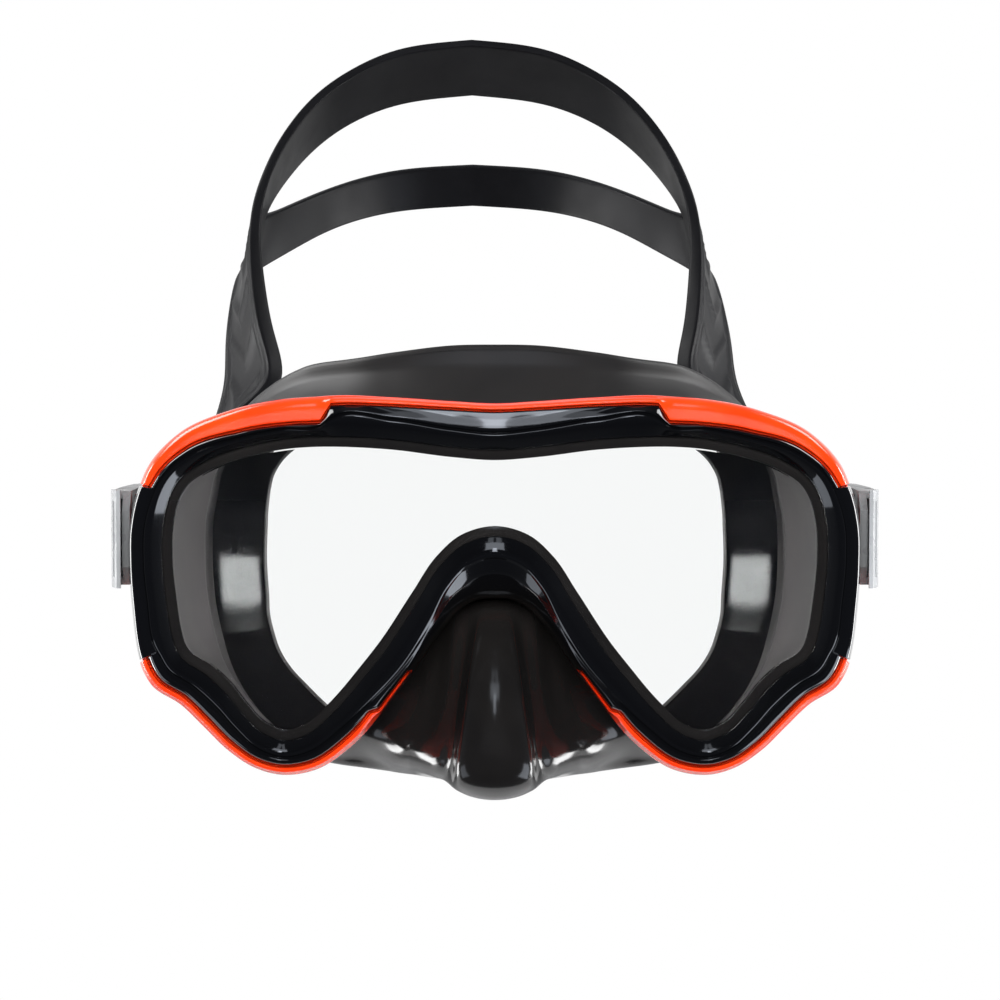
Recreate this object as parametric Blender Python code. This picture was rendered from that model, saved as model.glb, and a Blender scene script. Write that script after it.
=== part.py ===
"""Diving mask: one flat tempered lens in a two-part frame, a silicone skirt with a nose
pocket, and a split silicone strap on two swinging side buckles.

Metres, +Z up, +X to the wearer's left, +Y from the lens towards the wearer's face.
The origin is on the flat front face of the lens, in the plane of symmetry.
"""

import math

import bmesh
import bpy
import numpy as np
from mathutils import Matrix, Vector

MM = 0.001

# --- Front outline, one half from the brow centre to the nose centre, in millimetres ---------
# Window edge x, z | outer edge x, z | red shell left visible outside the bezel | bezel groove,
# measured from the window edge | 1 where the shell has a land for the side lug.
STATIONS = (
    (0.0, 9.2, 0.0, 22.4, 2.1, 6.2, 0),
    (9.9, 9.9, 9.9, 22.9, 2.1, 6.5, 0),
    (23.6, 11.6, 23.6, 23.8, 2.2, 7.0, 0),
    (37.4, 12.3, 37.8, 24.2, 2.4, 6.6, 0),
    (39.8, 12.3, 40.6, 24.0, 6.2, 4.8, 0),
    (47.8, 11.8, 49.4, 23.3, 6.0, 4.6, 0),
    (57.3, 9.9, 60.8, 20.9, 5.5, 4.6, 0),
    (65.8, 6.8, 73.2, 15.4, 4.3, 5.4, 0),
    (70.9, 3.1, 80.6, 7.2, 3.4, 6.0, 0),
    (72.0, 1.4, 82.0, 3.9, 3.0, 6.2, 0),
    (72.3, 0.8, 82.4, 3.0, 0.0, 6.2, 1),
    (74.1, -6.0, 84.5, -6.2, 0.0, 6.7, 1),
    (74.3, -14.0, 84.7, -14.4, 0.0, 6.7, 1),
    (73.4, -23.0, 84.1, -24.0, 0.0, 6.7, 1),
    (71.9, -31.6, 82.4, -36.4, 0.0, 6.7, 0),
    (71.6, -32.6, 82.0, -38.0, 2.6, 6.4, 0),
    (70.2, -35.0, 79.6, -42.6, 2.6, 6.4, 0),
    (65.3, -38.2, 72.6, -47.4, 2.5, 6.2, 0),
    (61.0, -42.2, 67.2, -52.6, 2.5, 6.2, 0),
    (57.2, -47.0, 61.6, -58.0, 2.5, 6.2, 0),
    (53.2, -51.2, 55.4, -62.0, 2.4, 6.2, 0),
    (48.6, -53.0, 49.2, -63.6, 2.4, 6.2, 0),
    (43.6, -51.6, 41.6, -62.5, 2.4, 6.4, 0),
    (38.4, -47.0, 33.6, -57.4, 2.5, 6.6, 0),
    (33.6, -41.6, 27.4, -50.8, 2.5, 7.2, 0),
    (32.4, -40.1, 26.0, -48.9, 0.9, 7.4, 0),
    (26.2, -32.2, 19.6, -40.2, 0.7, 8.2, 0),
    (19.0, -21.2, 12.6, -30.8, 0.0, 8.2, 0),
    (13.4, -12.9, 8.2, -25.6, 0.0, 7.9, 0),
    (7.9, -8.1, 4.2, -23.4, 0.0, 7.7, 0),
    (0.0, -6.0, 0.0, -22.9, 0.0, 7.6, 0),
)
# Where a bezel tab ends: the gap after this station, whether the tab lies before it, and where
# its two end steps lie in the gap (later gaps first, because each adds two rows)
TAB_ENDS = ((26, False, (0.04, 0.08)), (14, True, (0.33, 0.67)), (9, False, (0.33, 0.67)))
LONG_GAP = 7.0  # a gap longer than this, both edges together, gets a sample in its middle
# How far the outer part of the frame is swept back over the nose, for the last stations, in mm
NOSE_SWEEP = {25: 0.8, 26: 2.6, 27: 5.0, 28: 6.6, 29: 7.0, 30: 7.0}

# --- Face seal: widest line x, y, z and inner lip x, y, z, at the same stations, in mm --------
SEAL = (
    (0.0, 34.0, 37.0, 0.0, 36.0, 19.0),
    (10.0, 34.0, 36.8, 9.5, 36.0, 18.8),
    (24.0, 35.0, 35.2, 21.0, 37.0, 18.5),
    (37.0, 38.0, 33.4, 32.5, 40.0, 18.0),
    (41.0, 39.6, 33.0, 36.0, 41.5, 17.8),
    (48.5, 43.0, 31.0, 43.0, 45.0, 16.8),
    (58.0, 48.5, 25.0, 50.5, 50.5, 12.6),
    (65.5, 53.5, 16.0, 54.9, 55.5, 7.6),
    (69.0, 56.5, 8.5, 56.4, 58.5, 3.6),
    (70.0, 57.2, 5.5, 56.8, 59.2, 1.8),
    (70.4, 57.6, 3.5, 57.0, 59.6, 0.4),
    (72.0, 58.8, -5.0, 57.6, 60.8, -6.6),
    (72.2, 59.0, -14.0, 57.8, 61.0, -14.6),
    (71.6, 57.6, -23.0, 57.2, 59.6, -23.0),
    (69.6, 55.4, -32.5, 56.2, 57.4, -31.0),
    (69.2, 55.0, -34.0, 55.8, 57.0, -32.4),
    (67.6, 53.0, -39.0, 54.4, 55.0, -36.4),
    (64.4, 50.0, -45.8, 51.0, 52.0, -41.8),
    (60.4, 46.8, -51.4, 46.8, 48.8, -46.0),
    (55.2, 43.4, -56.4, 42.8, 45.4, -49.6),
    (49.4, 40.0, -60.2, 39.0, 42.0, -52.6),
    (44.0, 37.2, -62.2, 35.6, 39.4, -54.4),
    (38.0, 34.4, -63.6, 31.8, 37.0, -56.0),
    (32.4, 31.8, -64.2, 28.4, 34.4, -57.2),
    (27.6, 29.8, -64.6, 25.4, 32.4, -58.2),
    (26.2, 29.4, -64.7, 24.4, 32.0, -58.4),
    (20.8, 27.6, -65.2, 20.2, 30.2, -59.2),
    (15.4, 26.3, -65.6, 15.6, 29.0, -59.8),
    (9.6, 25.4, -66.0, 10.2, 28.0, -60.2),
    (4.8, 25.0, -66.2, 5.2, 27.5, -60.4),
    (0.0, 25.0, -66.2, 0.0, 27.5, -60.4),
)
# Nose pocket: six guide points x, y, z per station, from behind the frame to under the nose, mm
POCKET = {
    25: ((25.2, 14.8, -45.2), (24.0, 15.2, -49.6), (24.2, 16.4, -53.8),
         (25.2, 18.0, -57.8), (26.0, 20.6, -61.2), (26.2, 25.2, -63.6)),
    26: ((18.8, 14.6, -37.2), (17.6, 13.6, -43.4), (18.4, 12.2, -50.6),
         (20.6, 10.0, -57.4), (21.2, 13.0, -61.4), (21.0, 20.2, -64.0)),
    27: ((13.8, 13.8, -29.2), (12.4, 12.6, -34.8), (13.4, 8.2, -47.0),
         (16.4, 3.2, -57.8), (16.6, 6.4, -62.8), (15.8, 16.2, -65.2)),
    28: ((9.6, 12.4, -23.0), (9.4, 11.8, -28.6), (10.0, 2.6, -44.6),
         (11.6, -3.6, -58.6), (11.4, 1.0, -65.2), (10.2, 13.4, -66.2)),
    29: ((5.2, 12.4, -19.6), (5.0, 11.6, -25.6), (5.6, -3.4, -43.2),
         (6.8, -9.4, -59.4), (6.4, -3.0, -67.8), (5.2, 11.8, -67.0)),
    30: ((0.0, 12.4, -18.4), (0.0, 11.6, -24.8), (0.0, -5.6, -43.0),
         (0.0, -11.0, -60.0), (0.0, -4.0, -68.8), (0.0, 11.4, -67.4)),
}
WALL_STEPS = 6
WALL_LEAN = np.array([0.25, 0.6, 0.25])
SKIRT_WALL = 1.8
SEAL_LIP_WALL = 1.0

# --- Lens and the groove that holds it, in mm --------------------------------------------------
GAP = 0.3
LENS_THICKNESS = 4.0
LENS_EDGE = 2.9
LENS_BEVEL_DEPTH = 0.6
GROOVE_WALL_OUTER = 4.2
GROOVE_WALL_INNER = 3.3
LIP_FRONT = -1.3
LEDGE_INNER = 1.0
LEDGE_REAR = 5.8

# --- Frame shell and bezel, in mm --------------------------------------------------------------
FRAME_INNER = 4.6
FRAME_FRONT = -1.2
FRAME_REAR = 10.5
RED_CREST = -3.3
BEZEL_INNER = 2.3
BEZEL_REAR = -1.6
BEZEL_CREST = -4.7
BEZEL_WRAP_REAR = 6.4
WRAP_THICKNESS = 1.2

# --- Side buckles, in mm: w is the distance from the plane of symmetry -------------------------
PIVOT_Y, PIVOT_Z = 18.0, -8.4
BUCKLE_TILT = math.radians(3.0)
PIN_RADIUS, HOLE_PLAY = 1.5, 0.12
LUG_W = (79.7, 84.4)
FLOOR_W = (85.0, 86.8)
WALL_TOP_W = 89.6
RAIL_INNER_W = 80.7
WALL_V = (9.2, 11.0)
ROLLER_U, ROLLER_W, ROLLER_RADIUS = 24.0, 83.0, 1.7
LEVER_U, LEVER_W, LEVER_PIN_RADIUS = 2.0, 88.3, 0.75
LEVER_CAP_REAR, LEVER_CAP_HALF = -9.3, 11.4
KEEPER_U = (32.0, 37.0)
SCREW_W, SCREW_Z, SCREW_RADIUS, SCREW_DEPTH = 81.2, 6.9, 0.9, 3.4

# --- Strap edges on one side, from the buckle to the back centre, in mm ------------------------
# front-top edge | end of the upper band's lower edge | lower band's top edge | lower edge |
# thickness | how far the soft strap leans to the wearer's right there
STRAP_HALF_WIDTH = 8.8
STRAP_THIN = 2.0
STRAP = (
    ((71.5, 60.0, 14.5), None, None, (76.0, 74.5, 1.5), 2.4, 1.2),
    ((59.5, 64.0, 22.5), None, None, (69.5, 84.0, 16.0), 3.4, 2.6),
    ((50.8, 68.0, 31.0), None, None, (64.8, 90.6, 29.0), 4.2, 3.8),
    ((54.0, 76.5, 43.8), None, None, (64.4, 98.0, 40.2), 4.2, 4.4),
    ((56.2, 86.0, 57.0), None, None, (63.6, 105.0, 49.6), 3.8, 4.9),
    ((57.4, 96.0, 70.6), (58.4, 104.0, 65.4), None, (62.4, 110.0, 56.8), 3.0, 5.3),
    ((56.0, 103.8, 82.0), (57.0, 113.0, 74.9), None, (58.8, 116.4, 61.4), 2.6, 5.6),
    ((51.0, 111.4, 94.7), (51.6, 128.0, 86.6), (53.2, 122.0, 77.4), (52.0, 125.0, 65.8), 2.4, 5.9),
    ((42.4, 119.1, 107.1), (43.0, 138.0, 97.4), (43.4, 137.0, 83.4), (41.4, 141.4, 73.4), 2.4, 6.2),
    ((31.4, 126.2, 116.0), (32.0, 144.2, 105.4), (31.4, 150.2, 89.0), (30.6, 154.6, 78.6), 2.4, 6.4),
    ((18.0, 129.2, 122.0), (18.2, 147.6, 110.6), (18.0, 158.6, 92.6), (18.0, 163.4, 81.8), 2.4, 6.5),
    ((0.0, 129.7, 124.0), (0.0, 148.3, 112.6), (0.0, 161.0, 93.9), (0.0, 166.0, 83.2), 2.4, 6.5),
)
FIRST_SPLIT = 7
PAD_SPLIT = 0.62


def clear_scene():
    for old in list(bpy.data.objects):
        bpy.data.objects.remove(old, do_unlink=True)


def material(name, colour, roughness, metallic=0.0, transmission=0.0):
    """A Principled material with the finish of one kind of piece."""
    made = bpy.data.materials.new(name)
    made.use_nodes = True
    shader = made.node_tree.nodes["Principled BSDF"]
    shader.inputs["Base Color"].default_value = (*colour, 1.0)
    shader.inputs["Roughness"].default_value = roughness
    shader.inputs["Metallic"].default_value = metallic
    shader.inputs["Transmission Weight"].default_value = transmission
    return made


def add_object(name, mesh, finish, origin=(0.0, 0.0, 0.0)):
    """One named sub-part. The mesh is given in the world frame and hung on its origin."""
    mesh.transform(Matrix.Translation(-Vector(origin)))
    mesh.materials.append(finish)
    made = bpy.data.objects.new(name, mesh)
    made.location = origin
    bpy.context.collection.objects.link(made)
    return made


def mesh_from(name, points_mm, faces, smooth_angle=None):
    """A mesh from points in millimetres, with every face turned outwards."""
    mesh = bpy.data.meshes.new(name)
    shape = bmesh.new()
    vertices = [shape.verts.new(Vector(point) * MM) for point in points_mm]
    for face in faces:
        shape.faces.new([vertices[index] for index in face])
    bmesh.ops.recalc_face_normals(shape, faces=shape.faces)
    shape.to_mesh(mesh)
    shape.free()
    if smooth_angle is not None:
        mesh.shade_smooth()
        mesh.set_sharp_from_angle(angle=math.radians(smooth_angle))
    return mesh


def cutter(name, mesh, target, operation="DIFFERENCE"):
    """A hidden tool that the target's Boolean modifier cuts with or joins."""
    tool = bpy.data.objects.new(name, mesh)
    tool.hide_render = True
    tool.display_type = "WIRE"
    bpy.context.collection.objects.link(tool)
    tool.parent = target
    tool.matrix_parent_inverse = Matrix.Translation(-target.location)
    cut = target.modifiers.new(name, "BOOLEAN")
    cut.operation = operation
    cut.solver = "EXACT"
    cut.object = tool
    return tool


# --- Rings round the window --------------------------------------------------------------------


def mirrored(rows):
    """A half list of points, x first, carried round to the other side as a closed list."""
    half = np.array(rows, float)
    other = half[-2:0:-1].copy()
    other[:, 0] *= -1.0
    return np.vstack([half, other])


def curve_middles(points, lengths):
    """Points half-way along each gap of a smooth closed curve (cubic, by chord length)."""
    ahead = (np.roll(points, -1, axis=0) - points) / lengths[:, None]
    behind, short = np.roll(ahead, 1, axis=0), np.roll(lengths, 1)[:, None]
    slope = (ahead * short + behind * lengths[:, None]) / (short + lengths[:, None])
    following = np.roll(slope, -1, axis=0)
    middle = 0.5 * (points + np.roll(points, -1, axis=0))
    return middle + lengths[:, None] * (slope - following) / 8.0


def skirt_guides():
    """Guide points of the skirt's outer face at every station, from the groove to the seal."""
    guides = []
    for index, (station, seal) in enumerate(zip(np.array(STATIONS), np.array(SEAL))):
        window, outer = station[:2], station[2:4]
        out = (outer - window) / np.linalg.norm(outer - window)
        rim, lip = seal[:3], seal[3:]
        groove_x, groove_z = window + GROOVE_WALL_OUTER * out
        groove_point = np.array([groove_x, LEDGE_REAR, groove_z])
        if index in POCKET:
            between = [np.array(point) for point in POCKET[index]]
        else:
            control = groove_point + (rim - groove_point) * WALL_LEAN
            between = []
            for step in range(1, WALL_STEPS + 1):
                t = step / (WALL_STEPS + 1)
                between.append(
                    (1 - t) ** 2 * groove_point + 2 * t * (1 - t) * control + t**2 * rim
                )
        guides.append(np.concatenate([groove_point, *between, rim, lip]))
    return np.array(guides)


def outline():
    """Sampled window and outer edges, the widths that follow them and the skirt's guides.

    The state says how the bezel meets the shell: 0 wrapped round it, 1 lying over it,
    2 stopped short of a shell that is still flat, 3 stopped short of the shell's red bead.
    """
    stations = np.array(STATIONS, float)
    sweep = [[NOSE_SWEEP.get(index, 0.0)] for index in range(len(stations))]
    guides = skirt_guides()
    state = np.where(stations[:, 4:5] > 0.0, 3.0, 0.0)
    rows = list(np.hstack([stations, sweep, state, guides]))
    for gap, covered_first, spacing in TAB_ENDS:
        start, end = rows[gap], rows[gap + 1]
        between = [start + (end - start) * share for share in spacing]
        for row, level in zip(between, (1.0, 2.0) if covered_first else (2.0, 1.0)):
            row[8] = level
            row[4] = max(start[4], end[4])
        rows[gap + 1 : gap + 1] = between
    closed = mirrored(rows)
    # every column that holds an x changes sign with it
    other_x = [2, *range(9, 9 + guides.shape[1], 3)]
    closed[len(rows) :, other_x] *= -1.0
    following = np.roll(closed, -1, axis=0)
    lengths = np.linalg.norm(following[:, :4] - closed[:, :4], axis=1)
    middles = curve_middles(closed, lengths)
    middles[:, 4] = np.maximum(closed[:, 4], following[:, 4])
    middles[:, 5:7] = 0.5 * (closed[:, 5:7] + following[:, 5:7])
    middles[:, 8] = np.minimum(closed[:, 8], following[:, 8])
    samples = np.stack([closed, middles], axis=1).reshape(-1, closed.shape[1])
    samples = samples[np.column_stack([lengths > 0.0, lengths > LONG_GAP]).ravel()]
    window, outer = samples[:, :2], samples[:, 2:4]
    span = np.linalg.norm(outer - window, axis=1)
    return {
        "window": window,
        "out": (outer - window) / span[:, None],
        "span": span,
        "red": samples[:, 4],
        "groove": samples[:, 5],
        "land": samples[:, 6],
        "sweep": samples[:, 7],
        "state": samples[:, 8],
        "guides": samples[:, 9:].reshape(len(samples), -1, 3),
    }


def ring_points(line, radial, depth):
    """Points at a distance outside the window edge, and at a depth, all round the ring."""
    place = line["window"] + line["out"] * np.broadcast_to(radial, line["span"].shape)[:, None]
    depth = np.broadcast_to(depth, line["span"].shape)
    return np.column_stack([place[:, 0], depth, place[:, 1]])


def swept(line, radial):
    """How far back the nose sweep carries a point at this distance from the window edge."""
    share = (radial - line["groove"]) / (line["span"] - line["groove"])
    return line["sweep"] * np.clip(share, 0.0, 1.0)


def ring_mesh(name, loops, smooth_angle=35):
    """A closed ring: each loop of points is joined to the next, and the last to the first."""
    count = len(loops[0])
    points = np.vstack(loops)
    faces = []
    for row in range(len(loops)):
        following = (row + 1) % len(loops)
        for index in range(count):
            beside = (index + 1) % count
            faces.append(
                (
                    row * count + index,
                    row * count + beside,
                    following * count + beside,
                    following * count + index,
                )
            )
    return mesh_from(name, points, faces, smooth_angle)


def make_lens(line, finish):
    """Flat glass plate, its rim ground to a bevel that lies under the skirt's lip."""
    loops = (
        ring_points(line, -GAP, 0.0),
        ring_points(line, LENS_EDGE, LENS_BEVEL_DEPTH),
        ring_points(line, LENS_EDGE, LENS_THICKNESS),
    )
    count = len(loops[0])
    faces = [tuple(range(count)), tuple(range(2 * count, 3 * count))]
    for row in (0, 1):
        for index in range(count):
            beside = (index + 1) % count
            low, high = row * count, (row + 1) * count
            faces.append((low + index, low + beside, high + beside, high + index))
    return add_object("lens", mesh_from("lens", np.vstack(loops), faces), finish)


def make_frame_shell(line, finish):
    """Red shell behind the bezel: it clamps the skirt and shows outside the bezel."""
    span, red = line["span"], line["red"]
    shown = (line["state"] > 2.5).astype(float)
    in_open = line["state"] > 1.5
    edge = span - np.where(in_open, 0.0, WRAP_THICKNESS + 0.7)
    rear_land = np.maximum(span - 2.4 - 2.6 * line["land"], FRAME_INNER + 0.7)
    wrap_stop = BEZEL_WRAP_REAR + 0.4 + 1.7 * line["sweep"] / 7.0

    def at(radial, depth):
        radial = np.broadcast_to(radial, span.shape)
        return ring_points(line, radial, depth + swept(line, radial))

    crest = np.maximum(red - 0.8, 0.55 * red)
    loops = [
        at(FRAME_INNER, FRAME_FRONT),
        ring_points(line, FRAME_INNER, LEDGE_REAR + 0.2),
        ring_points(line, rear_land, FRAME_REAR),
        ring_points(line, span - 0.7, FRAME_REAR),
        ring_points(line, span, FRAME_REAR - 0.7),
        ring_points(line, span, wrap_stop + 0.3),
        ring_points(line, edge, wrap_stop),
        at(edge, 0.6),
        at(edge - np.where(in_open, np.minimum(0.7, 0.3 * red), 0.1), -0.8 - 0.9 * shown),
        at(span - np.where(in_open, 0.4 * red, 2.2), FRAME_FRONT - 1.7 * shown),
        at(span - np.where(in_open, crest, 2.7), FRAME_FRONT + (RED_CREST - FRAME_FRONT) * shown),
        at(span - np.where(in_open, red - GAP, 3.2), FRAME_FRONT),
        at(np.clip(line["groove"], FRAME_INNER + 0.2, span - 3.6), FRAME_FRONT),
    ]
    return add_object("frame_shell", ring_mesh("frame_shell", loops), finish)


def make_bezel(line, finish):
    """Black retaining ring, wrapped round the shell at the sides and over the nose."""
    span, groove = line["span"], line["groove"]
    edge = span - line["red"] * (line["state"] > 1.5)
    wraps = (line["state"] < 0.5).astype(float)
    flank = groove - BEZEL_INNER
    bead = edge - groove
    wrap_rear = BEZEL_REAR + wraps * (BEZEL_WRAP_REAR - BEZEL_REAR + 1.7 * line["sweep"] / 7.0)

    def at(radial, depth):
        radial = np.broadcast_to(radial, span.shape)
        return ring_points(line, radial, depth + swept(line, radial))

    loops = [
        at(BEZEL_INNER, BEZEL_REAR),
        at(BEZEL_INNER, BEZEL_REAR - 0.7),
        at(BEZEL_INNER + 0.55 * flank, BEZEL_CREST + 0.5),
        at(BEZEL_INNER + 0.82 * flank, BEZEL_CREST),
        at(groove, BEZEL_CREST + 0.8),
        at(groove + 0.35 * bead, BEZEL_CREST + 0.1),
        at(groove + 0.75 * bead, BEZEL_CREST + 0.6),
        at(edge - 0.1, -2.5 + 0.6 * wraps),
        at(edge, -2.0 + 2.4 * wraps),
        ring_points(line, edge, wrap_rear + swept(line, edge) * (1.0 - wraps)),
        ring_points(
            line,
            edge - 0.5 - (WRAP_THICKNESS - 0.5) * wraps,
            wrap_rear + swept(line, edge - 0.5) * (1.0 - wraps),
        ),
        at(edge - 1.0 - 0.5 * wraps, BEZEL_REAR),
        at(np.minimum(groove, edge - 1.8), BEZEL_REAR),
    ]
    return add_object("bezel", ring_mesh("bezel", loops), finish)


def surface_normals(grid):
    """Unit normals of a closed grid of points, pointing away from the inside of the mask."""
    around = np.roll(grid, -1, axis=1) - np.roll(grid, 1, axis=1)
    along = np.gradient(grid, axis=0)
    normal = np.cross(around, along)
    normal /= np.linalg.norm(normal, axis=2)[:, :, None]
    return normal


def make_skirt(line, finish):
    """One silicone piece: lens groove, side walls, nose pocket and the face seal."""
    grid = line["guides"].transpose(1, 0, 2)
    normals = surface_normals(grid)
    # outward at the brow centre means upwards
    if normals[3, 0, 2] < 0.0:
        normals = -normals
    walls = np.full(len(grid), SKIRT_WALL)
    walls[-1] = SEAL_LIP_WALL
    inner = grid - normals * walls[:, None, None]
    outside = list(grid[1:])
    inside = list(inner[:0:-1])
    ring = [
        ring_points(line, 0.0, LIP_FRONT),
        ring_points(line, GROOVE_WALL_OUTER, LIP_FRONT),
        ring_points(line, GROOVE_WALL_OUTER, LEDGE_REAR),
        *outside,
        *inside,
        ring_points(line, LEDGE_INNER, LEDGE_REAR),
        ring_points(line, LEDGE_INNER, LENS_THICKNESS + GAP),
        ring_points(line, GROOVE_WALL_INNER, LENS_THICKNESS + GAP),
        ring_points(line, GROOVE_WALL_INNER, -GAP),
        ring_points(line, 0.0, -GAP),
    ]
    return add_object("skirt", ring_mesh("skirt", ring, 50), finish)


# --- Side buckles --------------------------------------------------------------------------------


def buckle_point(side, w, u, v):
    """World millimetres of a buckle point: u along the strap, v across it, w outwards."""
    cosine, sine = math.cos(BUCKLE_TILT), math.sin(BUCKLE_TILT)
    return (side * w, PIVOT_Y + u * cosine - v * sine, PIVOT_Z + u * sine + v * cosine)


def prism_mesh(name, low_points, high_points, smooth_angle=None):
    """A closed prism between two matching outlines."""
    count = len(low_points)
    faces = [tuple(range(count)), tuple(range(count, 2 * count))]
    for index in range(count):
        beside = (index + 1) % count
        faces.append((index, beside, count + beside, count + index))
    return mesh_from(name, [*low_points, *high_points], faces, smooth_angle)


def plate_mesh(name, side, outline_uv, w_low, w_high):
    """A plate parallel to the side of the mask, with an outline in u and v."""
    return prism_mesh(
        name,
        [buckle_point(side, w_low, u, v) for u, v in outline_uv],
        [buckle_point(side, w_high, u, v) for u, v in outline_uv],
    )


def profile_mesh(name, side, outline_uw, v_low, v_high):
    """A wall that stands across the buckle, with an outline in u and w."""
    return prism_mesh(
        name,
        [buckle_point(side, w, u, v_low) for u, w in outline_uw],
        [buckle_point(side, w, u, v_high) for u, w in outline_uw],
    )


def turned_mesh(name, place, rings, segments=24):
    """A turned piece: rings of (distance along the axis, radius), closed at both ends."""
    points, faces = [], []
    for along, radius in rings:
        for step in range(segments):
            angle = 2.0 * math.pi * step / segments
            points.append(place(along, radius * math.cos(angle), radius * math.sin(angle)))
    for row in range(len(rings) - 1):
        for step in range(segments):
            beside = (step + 1) % segments
            low, high = row * segments, (row + 1) * segments
            faces.append((low + step, low + beside, high + beside, high + step))
    faces.append(tuple(range(segments)))
    faces.append(tuple(range((len(rings) - 1) * segments, len(rings) * segments)))
    return mesh_from(name, points, faces, 40)


def across(side, u, w):
    """Placing function for a turned piece whose axis runs across the buckle."""
    return lambda along, a, b: buckle_point(side, w + b, u + a, along)


def sideways(side, y, z):
    """Placing function for a turned piece whose axis runs along X."""
    return lambda along, a, b: (side * along, y + a, z + b)


def rearwards(side, w, z):
    """Placing function for a turned piece whose axis runs along Y."""
    return lambda along, a, b: (side * w + a, along, z + b)


def pivot_origin(side, w):
    return Vector((side * w, PIVOT_Y, PIVOT_Z)) * MM


def make_side_lug(tag, side, finish, frame_shell):
    """Bracket screwed to the rear of the shell; its round end carries the pivot pin."""
    flange = (FRAME_REAR + 0.4, FRAME_REAR + 2.9)
    arm, reach = 4.6, 9.8
    outline_yz = [(flange[0], -reach), (flange[1], -reach), (flange[1], -arm - 0.4)]
    for step in range(13):
        angle = -math.pi / 2.0 + math.pi * step / 12.0
        outline_yz.append((PIVOT_Y + arm * math.cos(angle), arm * math.sin(angle)))
    outline_yz += [(flange[1], arm + 0.4), (flange[1], reach), (flange[0], reach)]
    mesh = prism_mesh(
        f"side_lug_{tag}",
        [(side * LUG_W[0], y, PIVOT_Z + z) for y, z in outline_yz],
        [(side * LUG_W[1], y, PIVOT_Z + z) for y, z in outline_yz],
    )
    lug = add_object(f"side_lug_{tag}", mesh, finish, pivot_origin(side, LUG_W[0]))
    bore = PIN_RADIUS + HOLE_PLAY
    hole = turned_mesh(f"lug_bore_{tag}", sideways(side, PIVOT_Y, PIVOT_Z), ((76, bore), (90, bore)))
    cutter(f"lug_bore_{tag}", hole, lug)
    for level in (-1, 1):
        name = f"lug_screw_hole_{tag}_{level + 1}"
        radius = SCREW_RADIUS + HOLE_PLAY
        place = rearwards(side, SCREW_W, PIVOT_Z + level * SCREW_Z)
        depth = ((FRAME_REAR - SCREW_DEPTH - GAP, radius), (FRAME_REAR + 4.0, radius))
        cutter(name, turned_mesh(name, place, depth, 16), lug)
        cutter(f"shell_{name}", turned_mesh(f"shell_{name}", place, depth, 16), frame_shell)
    return lug


def make_lug_screw(tag, side, level, finish):
    """Pan-head screw through the lug's flange into the shell."""
    head = FRAME_REAR + 2.9 + GAP
    rings = (
        (FRAME_REAR - SCREW_DEPTH, SCREW_RADIUS * 0.6),
        (FRAME_REAR - SCREW_DEPTH + 0.5, SCREW_RADIUS),
        (head, SCREW_RADIUS),
        (head, 1.5),
        (head + 0.6, 1.5),
        (head + 1.0, 1.0),
    )
    name = f"lug_screw_{tag}_{'low' if level < 0 else 'high'}"
    mesh = turned_mesh(name, rearwards(side, SCREW_W, PIVOT_Z + level * SCREW_Z), rings, 16)
    return add_object(name, mesh, finish)


def make_pivot_pin(tag, side, finish):
    """Steel pin with a flat head inside, on which the buckle swings."""
    head_low, head_high = LUG_W[0] - 1.3, LUG_W[0] - GAP
    rings = (
        (head_low, 2.2),
        (head_low + 0.3, 2.6),
        (head_high, 2.6),
        (head_high, PIN_RADIUS),
        (FLOOR_W[1] - 0.4, PIN_RADIUS),
        (FLOOR_W[1] - 0.1, PIN_RADIUS - 0.3),
    )
    mesh = turned_mesh(f"pivot_pin_{tag}", sideways(side, PIVOT_Y, PIVOT_Z), rings)
    return add_object(f"pivot_pin_{tag}", mesh, finish, pivot_origin(side, LUG_W[0]))


def make_buckle_body(tag, side, finish):
    """Tray that swings on the pivot pin; its two rails carry the roller and the lever pin."""
    floor_outline = (
        (-12.0, -6.6), (-8.4, -10.6), (12.0, -10.6), (12.0, 10.6), (-8.4, 10.6), (-12.0, 6.6),
    )
    name = f"buckle_body_{tag}"
    body = add_object(name, plate_mesh(name, side, floor_outline, *FLOOR_W), finish,
                      pivot_origin(side, FLOOR_W[0]))
    rail = (
        (-8.6, FLOOR_W[0]), (13.6, FLOOR_W[0]), (17.0, RAIL_INNER_W), (29.0, RAIL_INNER_W),
        (29.0, 86.4), (26.0, 88.2), (10.0, WALL_TOP_W), (-5.4, WALL_TOP_W), (-8.6, 88.0),
    )
    for hand, (low, high) in (("low", (-WALL_V[1], -WALL_V[0])), ("high", WALL_V)):
        part = f"rail_{hand}_{tag}"
        cutter(part, profile_mesh(part, side, rail, low, high), body, "UNION")
    bore = PIN_RADIUS + HOLE_PLAY
    lever_bore = LEVER_PIN_RADIUS + HOLE_PLAY
    holes = (
        ("pivot", sideways(side, PIVOT_Y, PIVOT_Z), ((83.0, bore), (88.0, bore)), 24),
        ("roller", across(side, ROLLER_U, ROLLER_W), ((-12.0, 1.12), (12.0, 1.12)), 20),
        ("lever", across(side, LEVER_U, LEVER_W), ((-12.0, lever_bore), (12.0, lever_bore)), 20),
    )
    for kind, place, rings, segments in holes:
        part = f"{kind}_hole_{tag}"
        cutter(part, turned_mesh(part, place, rings, segments), body)
    return body


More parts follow.
